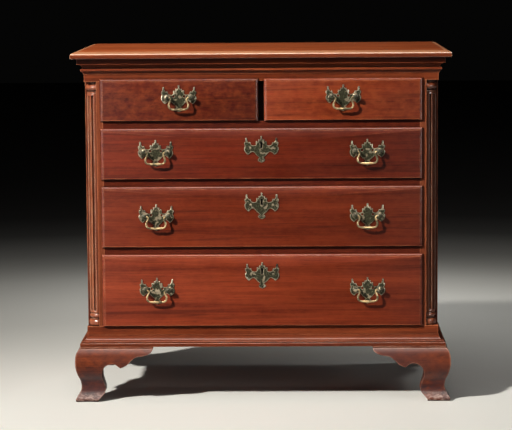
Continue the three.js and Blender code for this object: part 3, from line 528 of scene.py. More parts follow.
# %% Floor
floor_half = 14.0
light_pool_middle = (0, -0.3, 0)
light_pool_length = 5
light_pool_stops = [(0.13, 252), (0.2, 232), (0.28, 204), (0.45, 176), (0.58, 120), (0.7, 60), (0.82, 22), (1, 6)]
floor_mesh = bpy.data.meshes.new("floor")
floor_corners = [(x * floor_half, y * floor_half, 0) for x, y in ((-1, -1), (1, -1), (1, 1), (-1, 1))]
floor_mesh.from_pydata(floor_corners, [], [(0, 1, 2, 3)])
floor = bpy.data.objects.new("floor", floor_mesh)
floor_finish, floor_tree, floor_shader = new_material("pale_floor")
floor_place = add_node(floor_tree, "NewGeometry").outputs["Position"]
floor_reach = add_node(floor_tree, "VectorMath", {0: floor_place, 1: light_pool_middle}, operation="DISTANCE")
light_pool_share = spread(floor_tree, floor_reach.outputs["Value"], 0, light_pool_length)
# The painted pool of light: white near the chest, falling to black further off.
light_pool_ramp = add_node(floor_tree, "ValToRGB", {"Fac": light_pool_share})
for i, (share, level) in enumerate(light_pool_stops):
    stop = light_pool_ramp.color_ramp.elements[i] if i < 2 else light_pool_ramp.color_ramp.elements.new(share)
    stop.position = share
    stop.color = tint(level, level * 0.995, level * 0.96)
passed_on = tint(84, 83, 79)
feed(floor_tree, floor_shader, {
    "Base Color": mix(floor_tree, seen_directly(floor_tree), passed_on, light_pool_ramp.outputs["Color"]),
    "Roughness": 0.8,
    "Specular IOR Level": 0.2,
})
floor_mesh.materials.append(floor_finish)
scene.collection.objects.link(floor)
print("floor fades over", light_pool_length, "metres")

# %% [markdown]
# Most shapes here are lofts: a ring of points repeated along a line, with skin between one
# ring and the next. A moulding is two rings whose ends are cut to the mitre, a turned post is
# many round rings, and a bail is a ring carried along a bent wire. What a saw or chisel takes
# away afterwards is cut with a Boolean modifier, and its result is kept as the mesh.

# %% Shape helpers
def loft(rings):
    """Points and faces of a closed skin over rings with equal numbers of points."""
    count = len(rings[0])
    last = count * (len(rings) - 1)
    points = [point for ring in rings for point in ring]
    faces = []
    for start in range(0, last, count):
        for j in range(count):
            near, next_near = start + j, start + (j + 1) % count
            faces.append((near, next_near, next_near + count, near + count))
    return points, [*faces, tuple(reversed(range(count))), tuple(range(last, last + count))]


def mesh_of(name, *skins):
    """One mesh from several closed skins, with all faces turned outwards."""
    points, faces = [], []
    for skin_points, skin_faces in skins:
        shift = len(points)
        points += [tuple(point) for point in skin_points]
        faces += [tuple(index + shift for index in face) for face in skin_faces]
    mesh = bpy.data.meshes.new(name)
    mesh.from_pydata(points, [], faces)
    work = bmesh.new()
    work.from_mesh(mesh)
    bmesh.ops.recalc_face_normals(work, faces=work.faces)
    work.to_mesh(mesh)
    work.free()
    return mesh


def box_skin(x, y, z):
    """A box between two limits on each axis."""
    ring = [(x[0], y[0]), (x[1], y[0]), (x[1], y[1]), (x[0], y[1])]
    return loft([[(a, b, height) for a, b in ring] for height in z])


def moved(skin, place):
    return [Vector(point) + Vector(place) for point in skin[0]], skin[1]


def kept_mesh(thing):
    """What an object looks like with its curve filled or its modifiers done, as a mesh."""
    bpy.context.view_layer.update()
    evaluated = thing.evaluated_get(bpy.context.evaluated_depsgraph_get())
    return bpy.data.meshes.new_from_object(evaluated)


def carve(mesh, *cutters):
    """Cuts closed skins out of a mesh."""
    blank = bpy.data.objects.new("blank", mesh)
    tool = bpy.data.objects.new("tool", mesh_of("tool", *cutters))
    for part in (blank, tool):
        scene.collection.objects.link(part)
    cut = blank.modifiers.new("cut", "BOOLEAN")
    cut.object = tool
    cut.solver = "EXACT"
    cut.use_self = True
    result = kept_mesh(blank)
    for part in (blank, tool):
        bpy.data.objects.remove(part)
    return result


def show(mesh, name, finish, stands_for=(), body="case", crease=34):
    """Puts a mesh in the scene as a piece that moves with one body."""
    piece = bpy.data.objects.new(name, mesh)
    scene.collection.objects.link(piece)
    mesh.materials.clear()
    mesh.materials.append(finish)
    mesh.shade_smooth()
    mesh.set_sharp_from_angle(angle=math.radians(crease))
    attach(piece, body)
    if stands_for:
        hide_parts(*stands_for)
    return piece


def keep_mitres(piece):
    """Marks the slanting edges, where two mouldings meet, as sharp."""
    tiny = 0.01 * MM
    points = piece.data.vertices
    for edge in piece.data.edges:
        along = points[edge.vertices[1]].co - points[edge.vertices[0]].co
        if abs(along.x) > tiny and max(abs(along.y), abs(along.z)) > tiny:
            edge.use_edge_sharp = True


def arc(centre, radii, start, end, steps=10):
    """Points on part of an ellipse, with angles in degrees."""
    angles = [math.radians(start + (end - start) * i / steps) for i in range(steps + 1)]
    return [(centre[0] + radii[0] * math.cos(a), centre[1] + radii[1] * math.sin(a)) for a in angles]


def bend(points, steps):
    """A smooth line through points, which stays sharp at those marked with a third value."""
    smooth = []
    for i in range(len(points) - 1):
        here, after = points[i], points[i + 1]
        before = here if len(here) > 2 or i == 0 else points[i - 1]
        beyond = after if len(after) > 2 or i + 2 == len(points) else points[i + 2]
        for t in (step / steps for step in range(steps)):
            smooth.append(tuple(
                0.5 * (
                    2 * here[k] + (after[k] - before[k]) * t
                    + (2 * before[k] - 5 * here[k] + 4 * after[k] - beyond[k]) * t * t
                    + (3 * here[k] - before[k] - 3 * after[k] + beyond[k]) * t**3
                )
                for k in (0, 1)
            ))
    return smooth + [tuple(points[-1][:2])]


# %% [markdown]
# The top is one wide board. Its edge drops by a hair where the flat ends, rounds over to the
# tip and turns under again. Stacked rings do this at once on the front and both sides, with
# true mitres, and leave the rear edge square against the wall. Light and shade are painted on
# the rounded edge: its upward faces take a pale, lit copy of the wood, and its underside a
# dark, shaded one.

# %% Top board
top_low, top_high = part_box("top_board")
top_reach = case_front - top_low.y
top_edge = 18 * MM
top_step = 0.6 * MM
top_tip = top_low.z + 8.5 * MM
top_under = 3 * MM
top_flat = top_reach - top_edge
top_profile = [
    *arc((top_reach - top_under, top_low.z + top_under), (top_under, top_under), -90, 0, 5),
    *arc((top_flat, top_tip), (top_edge, top_high.z - top_step - top_tip), 0, 90, 14),
    (top_flat - 0.4 * MM, top_high.z - 0.3 * MM),
    (top_flat - 1.2 * MM, top_high.z),
]
top_log = (0.31, 0.07, 0.5)
edge_wish = {"wear": 0.8, "wear_reach": 0.003, "coat": 1.0}
lit_slope = 0.4


def top_ring(out, z):
    half, front = case_half + out, case_front - out
    return [(-half, front, z), (half, front, z), (half, case_rear, z), (-half, case_rear, z)]


top_wood = polished_wood(
    "top_wood", "x", top_log, tint(126, 52, 26), tint(204, 106, 54), wear=0.6, wear_reach=0.002,
    coat=1.0, coat_roughness=0.1, cloud=0.5, worn_colour=tint(240, 176, 128),
)
top_mesh = mesh_of("top_board", loft([top_ring(out, z) for out, z in top_profile]))
moulded_top = show(top_mesh, "moulded_top", top_wood, ["top_board"])
keep_mitres(moulded_top)
shaded_underside_wood = polished_wood(
    "top_edge_wood", "x", top_log, tint(88, 34, 18), tint(152, 72, 38), **edge_wish,
    coat_roughness=0.1, worn_colour=tint(240, 190, 150),
)
lit_rim_finish = polished_wood(
    "top_rim_wood", "x", top_log, tint(166, 104, 66), tint(226, 160, 116), **edge_wish,
    coat_roughness=0.14, worn_colour=tint(255, 224, 188),
)
for finish in (shaded_underside_wood, lit_rim_finish):
    top_mesh.materials.append(finish)
# Painted highlight on the upward faces of the edge, painted shade on those below.
for face in top_mesh.polygons:
    beyond_x = abs(face.center.x) > case_half + top_flat
    beyond_y = face.center.y < case_front - top_flat
    below = face.center.z < top_high.z - 0.1 * MM
    if below and (beyond_x or beyond_y):
        face.material_index = 2 if face.normal.z > lit_slope else 1
print("top edge has", len(top_profile), "points")

# %% [markdown]
# A cornice or base moulding is planed as one long stick, then cut into three lengths that
# meet in mitres at the front corners. Keeping the three lengths apart lets the grain turn the
# corner as it does on the real one, and leaves the fine dark line of the joint. A length is
# lofted between its two ends, which are either mitred or square.

# %% Mitred lengths
mitre_gap = 0.08 * MM
both_sides = ((-1, "left"), (1, "right"))


def moulding_woods(word, log_places, dark, light):
    """One wood twice, with its grain along the front and along the sides."""
    return [
        polished_wood(f"{word}_{length}_wood", axis, log_place, dark, light,
                      wear_reach=0.0015, coat=0.4, coat_roughness=0.16)
        for length, axis, log_place in zip(("front", "side"), "xy", log_places)
    ]


def front_mitre(side, profile):
    return [(side * (case_half + out - mitre_gap), case_front - out, z) for out, z in profile]


def side_mitre(side, profile):
    return [(side * (case_half + out), case_front - out + mitre_gap, z) for out, z in profile]


def square_end(side, profile, y):
    return [(side * (case_half + out), y, z) for out, z in profile]


def three_lengths(solid, profile, front_wood, side_wood):
    front = loft([front_mitre(side, profile) for side in (-1, 1)])
    show(mesh_of(solid, front), f"{solid}_front", front_wood, [solid])
    for side, word in both_sides:
        length = loft([side_mitre(side, profile), square_end(side, profile, case_rear)])
        show(mesh_of(solid, length), f"{solid}_{word}", side_wood)
    print(solid, "has", len(profile), "points in its profile")


# %% [markdown]
# The cornice stands under the top: a fat bead below, a narrow flat, and a cove that sweeps
# out to carry the board. A moulding plane cuts each curve as part of a circle or an ellipse,
# so the profile is written as arcs between flats.

# %% Cornice
cornice_low, cornice_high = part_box("cornice_moulding")
cornice_reach = case_front - cornice_low.y
bead_low = cornice_low.z
bead_radius = 7.5 * MM
bead_flat = 3.5 * MM
bead_out = 4.5 * MM
under_bead = 6.8 * MM
bead_middle = bead_low + (under_bead + 2 * bead_radius) / 2
cove_low = bead_low + 16.6 * MM
cove_high = bead_low + 25.7 * MM
cornice_profile = [
    (0, bead_low),
    *arc((bead_flat + 3 * MM, bead_low), (bead_flat + 1.5 * MM, under_bead - 0.2 * MM), 180, 90, 8),
    *arc((bead_flat, bead_middle), (bead_out, bead_middle - bead_low - under_bead), -90, 90, 12),
    (bead_flat - 2 * MM, bead_low + 2 * bead_radius + 0.2 * MM),
    (bead_flat - 2 * MM, cove_low - 0.4 * MM),
    *arc((cornice_reach, cove_low), (cornice_reach - bead_flat, cove_high - cove_low), 180, 90, 12),
    (cornice_reach, cornice_high.z),
    (0, cornice_high.z),
]
cornice_logs = ((0.9, 0.3, 0.15), (0.2, 0.9, 0.35))
cornice_woods = moulding_woods("cornice", cornice_logs, front_dark, warm_light)
three_lengths("cornice_moulding", cornice_profile, *cornice_woods)

# %% [markdown]
# The base moulding covers the joint between the case and the feet. It is a square band with
# a small bead on it, and a cove above that leads the eye up to the case.

# %% Base moulding
base_low, base_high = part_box("base_moulding")
base_reach = case_front - base_low.y
band_high = base_low.z + 8.6 * MM
base_profile = [
    (0, base_low.z),
    (base_reach, base_low.z),
    (base_reach, band_high - 0.8 * MM),
    (base_reach - 0.8 * MM, band_high),
    (base_reach - 3.4 * MM, band_high + 0.3 * MM),
    *arc((base_reach - 4.6 * MM, band_high + 2.4 * MM), (2.1 * MM, 2.0 * MM), -60, 90, 8),
    (base_reach - 5.8 * MM, band_high + 4.5 * MM),
    *arc((base_reach - 5.8 * MM, base_high.z - 1.9 * MM), (10.1 * MM, 12.6 * MM), -90, -180, 12),
    (1.6 * MM, base_high.z),
    (0, base_high.z),
]
base_logs = ((0.4, 0.62, 0.8), (0.7, 0.22, 0.18))
base_woods = moulding_woods("base", base_logs, tint(76, 26, 14), tint(158, 74, 40))
three_lengths("base_moulding", base_profile, *base_woods)

# %% [markdown]
# A quarter column is turned as a whole one and sawn in four. Its outline around and up is a
# formula: the turned capital and base are smooth lines of radius against height, and each
# flute on the shaft is a round gouge that ends in the print of its nose.

# %% Quarter columns
column_recess = 30 * MM
shaft_radius = 25 * MM
turning_radius = 27 * MM
turned_base_height = 34 * MM
turned_capital_height = 31 * MM
flute_radius = 3.7 * MM
flute_out = 0.6 * MM
flute_sink = 1.4
flute_end_gap = 3.5 * MM
flute_angles = (10, 38, 66)
angle_steps = 64
base_turning = [
    (0.96, 0), (1, 0.1), (1, 0.36, "sharp"), (0.93, 0.46), (0.8, 0.52, "sharp"), (0.8, 0.6, "sharp"),
    (0.9, 0.64), (0.95, 0.75), (0.9, 0.87), (0.86, 0.9, "sharp"), (0.86, 0.95), (0.926, 1),
]
capital_turning = [
    (0.926, 0), (0.9, 0.05, "sharp"), (0.93, 0.1), (0.88, 0.16), (0.8, 0.19, "sharp"),
    (0.82, 0.23, "sharp"), (0.97, 0.32), (1.06, 0.5), (0.97, 0.68), (0.84, 0.79, "sharp"),
    (0.8, 0.83), (0.84, 0.89), (0.96, 0.93, "sharp"), (0.98, 1),
]


def flute_depth(angle, z, low, high):
    deepest = 0.0
    for middle in flute_angles:
        aside = (shaft_radius + flute_out) * abs(angle - math.radians(middle))
        past_end = max(low + flute_radius - z, z - high + flute_radius, 0)
        inside = flute_radius**2 - aside**2 - past_end**2
        if inside > flute_out**2:
            deepest = max(deepest, flute_sink * (math.sqrt(inside) - flute_out))
    return deepest


def turned_part(turning, start, height):
    return [(r * turning_radius, start + z * height) for r, z in bend(turning, 4)]


def quarter_column(side, solid):
    low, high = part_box(solid)
    centre_x = side * (case_half - column_recess)
    centre_y = high.y
    base_top, capital_low = low.z + turned_base_height, high.z - turned_capital_height
    flutes_low, flutes_high = base_top + flute_end_gap, capital_low - flute_end_gap
    nose_steps = [flute_radius * i / 5 for i in range(6)]
    shaft_heights = [
        base_top + 1 * MM,
        *[flutes_low + step for step in nose_steps],
        *[flutes_low + (flutes_high - flutes_low) * i / 12 for i in range(1, 12)],
        *[flutes_high - step for step in reversed(nose_steps)],
        capital_low - 1 * MM,
    ]
    outline = [
        *turned_part(base_turning, low.z, turned_base_height),
        *[(shaft_radius, z) for z in shaft_heights],
        *turned_part(capital_turning, capital_low, turned_capital_height),
    ]
    rings = []
    for radius, z in outline:
        ring = [(centre_x, centre_y, z)]
        for i in range(angle_steps + 1):
            angle = math.radians(90) * i / angle_steps
            sunk = flute_depth(angle, z, flutes_low, flutes_high) if base_top < z < capital_low else 0
            reach = radius - sunk
            ring.append((centre_x + side * reach * math.cos(angle), centre_y - reach * math.sin(angle), z))
        rings.append(ring)
    return mesh_of(solid, loft(rings))


# Painted highlight on the ridges through the near-white edge colour; flutes take grime and painted shade.
column_wood = polished_wood(
    "column_wood", "z", (0.15, 0.4, 0.6), tint(120, 50, 30), tint(206, 120, 80), wear=1.0,
    wear_reach=0.0018, coat=1.0, coat_roughness=0.16, dirt_reach=0.008, dirt_start=0.98,
    worn_colour=tint(246, 200, 166),
)
for side, word in both_sides:
    solid = f"quarter_column_{word}"
    column = show(quarter_column(side, solid), f"turned_{solid}", column_wood, [solid], crease=50)
    print(column.name, "has", len(column.data.vertices), "points")

# %% [markdown]
# A bracket foot is two boards sawn to a scroll below and shaped to an S in section, then
# mitred together at the corner. Both lines are drawn as shares of the foot's height and of
# its reach or length, so that they follow the construction's own measures.

# %% Foot outlines
foot_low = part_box("foot_front_left")[0]
foot_reach = case_front - foot_low.y
foot_height = base_low.z
fillet_height = 5 * MM
foot_thickness = 25 * MM
bracket_length = 165 * MM
rear_board_length = 125 * MM
rear_board_thickness = 22 * MM
saw_overrun = 20 * MM
ogee_shares = [
    (0.82, 0), (0.94, 0.012), (0.965, 0.035), (0.95, 0.06), (0.76, 0.125), (0.57, 0.2), (0.51, 0.29),
    (0.59, 0.4), (0.8, 0.51), (0.97, 0.65), (1, 0.77), (0.93, 0.9), (0.74, 0.985), (0.68, 1),
]
scroll_shares = [
    (0.167, 0.03), (0.223, 0.1), (0.266, 0.17), (0.272, 0.25), (0.243, 0.37), (0.223, 0.46),
    (0.233, 0.57), (0.288, 0.66), (0.379, 0.7), (0.442, 0.68), (0.509, 0.62, "sharp"), (0.6, 0.67),
    (0.667, 0.75), (0.751, 0.82), (0.89, 0.85), (0.988, 0.92), (1, 1, "sharp"),
]
rear_shares = [(0.42, 0), (0.5, 0.3), (0.72, 0.5), (1, 0.6)]
ogee_top = foot_height - fillet_height
foot_section = [
    *[(out * foot_reach, z * ogee_top) for out, z in bend(ogee_shares, 5)],
    (base_reach, ogee_top + 0.2 * MM), (base_reach, foot_height),
    (-foot_thickness, foot_height), (-foot_thickness, 0),
]
scroll = [(share * bracket_length, z * foot_height) for share, z in bend(scroll_shares, 5)]
past_bracket, past_top = bracket_length + saw_overrun, foot_height + saw_overrun
sawn_away = [
    (scroll[0][0], -saw_overrun), *scroll, (scroll[-1][0], past_top),
    (past_bracket, past_top), (past_bracket, -saw_overrun),
]
print("foot", round(foot_height, 4), "high and", round(foot_reach, 4), "proud of the case")

# %% [markdown]
# The S is the ring of the loft. The mitre comes from letting each point of the ring end as
# far out as it stands proud of the case, and the scroll is sawn out with a cutter, straight
# through. A rear foot has no mitre: its side bracket stops flat against the wall, and a plain
# board with one curved cut closes it behind.

# %% Front and side brackets
def sawn_bracket(outer, inner, waste):
    return carve(mesh_of("bracket", loft([outer, inner])), loft(waste))


def front_bracket(side):
    inner = [(side * (case_half - bracket_length), case_front - out, z) for out, z in foot_section]
    across = (case_front - foot_reach - saw_overrun, case_front + foot_thickness + saw_overrun)
    waste = [[(side * (case_half - inward), y, z) for inward, z in sawn_away] for y in across]
    return sawn_bracket(front_mitre(side, foot_section), inner, waste)


def side_bracket(side, outer, corner_y, inward_y):
    inner = square_end(side, foot_section, corner_y + inward_y * bracket_length)
    across = (case_half + foot_reach + saw_overrun, case_half - foot_thickness - saw_overrun)
    waste = [[(side * x, corner_y + inward_y * inward, z) for inward, z in sawn_away] for x in across]
    return sawn_bracket(outer, inner, waste)


def rear_board(side):
    edge = [
        *[(share * rear_board_length, z * foot_height) for share, z in bend(rear_shares, 6)],
        (rear_board_length, foot_height), (foot_thickness, foot_height), (foot_thickness, 0),
    ]
    limits = (case_rear - rear_board_thickness, case_rear)
    faces = [[(side * (case_half - inward), y, z) for inward, z in edge] for y in limits]
    return mesh_of("rear_board", loft(faces))


# %% [markdown]
# The brackets alone would snap off, so blocks are glued behind them: one upright in the
# corner and two flat ones along the top, which also reach up past the base moulding to the
# case's bottom board. They and the rear boards are of rough pine and were never polished.

# %% Feet
foot_dark = tint(66, 28, 20)
foot_light = tint(150, 74, 46)
foot_wish = {
    "figure": 0.6, "cloud": 0.85, "cloud_colour": tint(80, 60, 62), "wear": 1.0,
    "worn_colour": tint(206, 150, 124), "coat": 0.8, "coat_roughness": 0.3, "scuffs": 0.8,
}
foot_front_wood = polished_wood(
    "foot_front_wood", "x", (0.6, 0.1, 0.9), foot_dark, foot_light, **foot_wish
)
foot_side_wood = polished_wood(
    "foot_side_wood", "y", (0.3, 0.5, 0.2), foot_dark, foot_light, **foot_wish
)
block_wood = bare_wood("block_wood", "z", (0.5, 0.2, 0.1), tint(92, 62, 38), tint(140, 100, 64))
block_reach = 0.68 * bracket_length - foot_thickness
block_section = 20 * MM
upright_section = 11 * MM
upright_low = 14 * MM
block_low = 0.84 * foot_height
guide_height = 16 * MM
bottom_board = 20 * MM
board_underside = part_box("case_bottom")[1].z - guide_height - bottom_board


def glue_blocks(side, inner_y, inward_y, upper_start):
    """The blocks glued inside a foot, whose upper parts start behind the corner block."""
    x = side * (case_half - foot_thickness)
    spans = [
        (upright_section, upright_section, upright_low),
        (block_reach, block_section, block_low),
        (block_section, block_reach, block_low),
    ]
    skins = []
    for x_reach, y_reach, low in spans:
        far_y = inner_y + inward_y * y_reach
        x_limits = sorted((x, x - side * x_reach))
        skins.append(box_skin(x_limits, sorted((inner_y, far_y)), (low, foot_height)))
        skins.append(box_skin(x_limits, sorted((upper_start, far_y)), (foot_height, board_underside)))
    return mesh_of("glue_blocks", *skins)


corner_block_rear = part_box("top_rail")[1].y
front_inner = case_front + foot_thickness
rear_inner = case_rear - rear_board_thickness
for side, word in both_sides:
    front, rear = f"front_foot_{word}", f"rear_foot_{word}"
    front_solid, rear_solid = [f"foot_front_{word}"], [f"foot_rear_{word}"]
    show(front_bracket(side), f"{front}_face", foot_front_wood, front_solid, crease=40)
    front_side = side_bracket(side, side_mitre(side, foot_section), case_front, 1)
    show(front_side, f"{front}_side", foot_side_wood, crease=40)
    rear_side = side_bracket(side, square_end(side, foot_section, case_rear), case_rear, -1)
    show(rear_side, f"{rear}_side", foot_side_wood, rear_solid, crease=40)
    show(rear_board(side), f"{rear}_board", block_wood)
    front_blocks = glue_blocks(side, front_inner, 1, corner_block_rear)
    show(front_blocks, f"{front}_blocks", block_wood)
    rear_blocks = glue_blocks(side, rear_inner, -1, rear_inner)
    show(rear_blocks, f"{rear}_blocks", block_wood)
print("glue blocks reach up to", round(board_underside, 4))

# %% [markdown]
# A drawer front has a lip that covers the joint round it on three sides, and a rounded edge
# called a thumb moulding that frames the flat of the face. It is a stack of rectangles from
# the face back to the inside. Then the sockets for the dovetails, the groove for the bottom
# and, on a locked drawer, the keyhole and the pocket for the lock are cut.

# %% Drawer front shape
thumb_width = 6.5 * MM
thumb_step = 1 * MM
thumb_drop = 6 * MM
thumb_below_share = 0.2
gap_below = 0.6 * MM
lip_back = case_front - 0.25 * MM
lip_above_core = 8 * MM
side_thickness = 10 * MM
side_drop = 3.5 * MM
tail_length = 12 * MM
tail_pitch = 40 * MM
tail_flare = 3 * MM
pin_share = 0.34
fit = 0.25 * MM
groove_depth = 4 * MM
bottom_lift = 8 * MM
bottom_thickness = 9 * MM
cut_past = 5 * MM
keyhole_head = 3.7 * MM
keyhole_slot = 2.6 * MM
keyhole_rise = 12 * MM
keyhole_below = 1 * MM
escutcheon_rise = 28 * MM


def rectangle(x, y, z):
    return [(x[0], y, z[0]), (x[1], y, z[0]), (x[1], y, z[1]), (x[0], y, z[1])]


def tail_sockets(core_x, front_rear, low, high):
    count = max(2, round((high - low) / tail_pitch))
    pitch = (high - low) / count
    half = pitch * (1 - pin_share) / 2
    narrow, wide = half - tail_flare + fit, half + fit
    rear, tip = front_rear + cut_past, front_rear - tail_length - fit
    sockets = []
    for i in range(count):
        middle = low + (i + 0.5) * pitch
        outline = [
            (rear, middle - narrow), (front_rear, middle - narrow), (tip, middle - wide),
            (tip, middle + wide), (front_rear, middle + narrow), (rear, middle + narrow),
        ]
        for edge_x, inward in ((core_x[0], 1), (core_x[1], -1)):
            limits = (edge_x - inward * cut_past, edge_x + inward * (side_thickness + fit))
            sockets.append(loft([[(x, y, z) for y, z in outline] for x in limits]))
    return sockets


def keyhole_outline(z):
    """A round head over a straight slot."""
    start = math.degrees(math.asin(keyhole_slot / keyhole_head))
    head = arc((0, z + keyhole_rise), (keyhole_head, keyhole_head), start - 90, 270 - start, 16)
    return [(keyhole_slot, z - keyhole_below), *head, (-keyhole_slot, z - keyhole_below)]


def drawer_front(drawer):
    low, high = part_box(f"{drawer}_front")
    low.z += gap_below
    box_low, box_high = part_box(f"{drawer}_box")
    core_x = (box_low.x, box_high.x)
    core_top = high.z - lip_above_core
    thumb = [
        *arc((thumb_width, low.y + thumb_step + thumb_drop), (thumb_width, thumb_drop), 180, 270, 10),
        (thumb_width + 0.15 * MM, low.y + 0.25 * MM), (thumb_width + 0.7 * MM, low.y),
    ]
    rings = [
        rectangle((low.x + inset, high.x - inset), y, (low.z + inset * thumb_below_share, high.z - inset))
        for inset, y in reversed(thumb)
    ]
    rings.append(rectangle((low.x, high.x), lip_back, (low.z, high.z)))
    rings += [rectangle(core_x, y, (low.z, core_top)) for y in (lip_back, high.y)]
    cutters = tail_sockets(core_x, high.y, low.z - gap_below, core_top - side_drop)
    groove_x = (core_x[0] + side_thickness - groove_depth, core_x[1] - side_thickness + groove_depth)
    floor_z = low.z - gap_below - fit + bottom_lift
    groove_y = (high.y - groove_depth, high.y + cut_past)
    cutters.append(box_skin(groove_x, groove_y, (floor_z, floor_z + bottom_thickness)))
    if f"{drawer}_lock" in frame["nodes"]:
        lock_low, lock_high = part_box(f"{drawer}_lock")
        keyhole = keyhole_outline(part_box(f"{drawer}_escutcheon")[1].z - escutcheon_rise)
        cutters.append(loft([[(x, y, z) for x, z in keyhole] for y in (low.y - cut_past, lock_low.y)]))
        pocket_x = (lock_low.x - fit, lock_high.x + fit)
        pocket_z = (lock_low.z - fit, core_top + cut_past)
        cutters.append(box_skin(pocket_x, (lock_low.y - fit, high.y + cut_past), pocket_z))
    return carve(mesh_of("front", loft(rings)), *cutters)


# %% [markdown]
# The five fronts were cut from different boards, and the photograph shows it: the left short
# drawer is much darker than the right one. Each front gets a place in the log, two colours
# and a strength of figure of its own. The drawers' sides and bottoms share two pale woods.

# %% Drawer fronts
drawers = {
    "short_drawer_left": ((0.12, 0.31, 0.05), tint(56, 15, 9), tint(110, 38, 22), 0.35),
    "short_drawer_right": ((0.72, 0.11, 0.35), front_dark, tint(174, 72, 36), 0.6),
    "upper_drawer": ((0.4, 0.8, 0.15), tint(70, 18, 9), tint(140, 50, 26), 0.12),
    "middle_drawer": ((0.9, 0.45, 0.65), front_dark, front_light, 0.15),
    "lower_drawer": ((0.25, 0.65, 0.95), tint(92, 28, 15), tint(178, 74, 40), 0.15),
}
inner_wood = bare_wood("drawer_side_wood", "y", (0.2, 0.1, 0.7), tint(122, 84, 50), tint(186, 142, 94))
bottom_wood = bare_wood("drawer_bottom_wood", "x", (0.5, 0.7, 0.3), tint(116, 82, 50), tint(178, 136, 90))
for drawer, (log_place, dark, light, figure) in drawers.items():
    finish = polished_wood(
        f"{drawer}_wood", "x", log_place, dark, light, figure=figure, wear=0.6, wear_reach=0.005
    )
    front = show(
        drawer_front(drawer), f"{drawer}_lipped_front", finish, [f"{drawer}_front"], drawer, crease=30
    )
    keep_mitres(front)
print("drawer fronts made:", len(drawers))

# %% [markdown]
# The plates are cut and filed from thin cast brass to the outline called a bat's wing. The
# outline is drawn once, for the right half, from the tip of the crest down to the drop, and
# mirrored. A filled curve with a small bevel gives the filed edge that catches the light.

# %% Plate outline
plate_thickness = 2 * MM
filed_edge = 0.9 * MM
wing_outline = [
    (0, 30.5), (1.9, 29.6), (2.3, 27.8), (1.3, 25.6, "sharp"), (2.8, 22.8), (3.6, 20.6, "sharp"),
    (6.6, 22.2), (8, 20.6), (7.4, 18), (8.2, 15.4, "sharp"), (11.6, 17.6), (13.6, 16), (13.4, 12),
    (13.2, 8.8, "sharp"), (17.6, 6.6), (23, 7.2), (27.2, 10.2), (27.4, 14, "sharp"), (29.8, 15.4),
    (31.6, 13.6, "sharp"), (34.4, 16.2), (35.8, 19.4), (36.4, 21.8, "sharp"), (36, 24.4), (38.2, 26.4),
    (40.6, 24.8), (40, 22, "sharp"), (40.6, 19), (39.6, 15.6, "sharp"), (42.4, 15.4), (43.8, 13),
    (42.6, 8), (40.4, 4.8, "sharp"), (43.6, 1), (42.8, -7), (38.6, -13), (33.4, -16.6, "sharp"),
    (28, -11.4), (21.6, -9.2), (16, -13.4, "sharp"), (12.4, -17.6), (7, -22), (4.6, -24.4, "sharp"),
    (8.8, -28), (7.2, -32.6), (0, -36.6, "sharp"),
]
wing_half = [(x * MM, z * MM) for x, z in bend(wing_outline, 5)]
plate_outline = wing_half + [(-x, z) for x, z in reversed(wing_half[1:-1])]


def circle(sides):
    """The angles of a ring of equal steps."""
    return [2 * math.pi * i / sides for i in range(sides)]


def round_holes(x, z, size, sides=14):
    """A pair of holes, left and right."""
    return [
        [(side * x + size * math.cos(a), z + size * math.sin(a)) for a in circle(sides)]
        for side in (-1, 1)
    ]


def plate_skin(holes):
    """The plate with its front face on the plane y = 0, its holes cut and its edge filed."""
    drawing = bpy.data.curves.new("plate", "CURVE")
    drawing.dimensions = "2D"
    drawing.fill_mode = "BOTH"
    drawing.extrude = plate_thickness / 2 - filed_edge
    drawing.bevel_depth = filed_edge
    drawing.bevel_resolution = 1
    drawing.offset = -filed_edge
    for outline in [plate_outline, *holes]:
        line = drawing.splines.new("POLY")
        line.points.add(len(outline) - 1)
        for point, (x, z) in zip(line.points, outline):
            point.co = (x, z, 0, 1)
        line.use_cyclic_u = True
    drawn = bpy.data.objects.new("plate", drawing)
    scene.collection.objects.link(drawn)
    mesh = kept_mesh(drawn)
    bpy.data.objects.remove(drawn)
    mesh.transform(Matrix.Rotation(math.radians(90), 4, "X"))
    points = [vertex.co.copy() for vertex in mesh.vertices]
    return moved((points, [tuple(face.vertices) for face in mesh.polygons]), (0, plate_thickness / 2, 0))


print("plate outline has", len(plate_outline), "points")

# %% [markdown]
# Each bail swings in two turned posts that pass through the plate and the drawer front to
# nuts inside. Posts, nuts and nails are turned about the line from front to back.

# %% Posts, nuts and nails
post_half_gap = 30 * MM
front_thickness = 22 * MM
post_profile = [
    (0, 7.4), (-1.1, 7.3), (-1.8, 6.6), (-2.1, 5), (-2.9, 3.7), (-5.2, 2.7), (-7.2, 2.6), (-8.0, 3.1),
    (-8.6, 3.4), (-9.1, 4.7), (-10.2, 5.9), (-12, 6.4), (-13.8, 5.8), (-15.1, 4.5), (-15.9, 2.8),
    (-16.2, 0.8),
]
nut_profile = [(0, 2.6), (0, 6.2), (0.6, 6.6), (3.4, 6.6), (4, 6.2), (4, 2.4), (6.6, 2.2), (7, 1.6)]
nail_profile = [(0.4, 2.5), (0, 2.5), (-0.6, 2.2), (-1.1, 1.5), (-1.35, 0.4)]
piercing = (13.4 * MM, 2.6 * MM, 2.8 * MM)


def turned(profile, sides, start=0.0):
    """A solid turned about the Y axis from distances and radii in millimetres."""
    return loft([
        [(radius * MM * math.cos(a), start + y * MM, radius * MM * math.sin(a)) for a in circle(sides)]
        for y, radius in profile
    ])


post = turned(bend(post_profile, 3), 20)
nut = turned(nut_profile, 6, front_thickness + plate_thickness)
nail = turned(nail_profile, 14)


def side_pair(skin, half_gap):
    return [moved(skin, (side * half_gap, 0, 0)) for side in (-1, 1)]


def pull_plate():
    posts_and_nuts = side_pair(post, post_half_gap) + side_pair(nut, post_half_gap)
    return mesh_of("pull_plate", plate_skin(round_holes(*piercing)), *posts_and_nuts)


print("a post has", len(post[0]), "points")

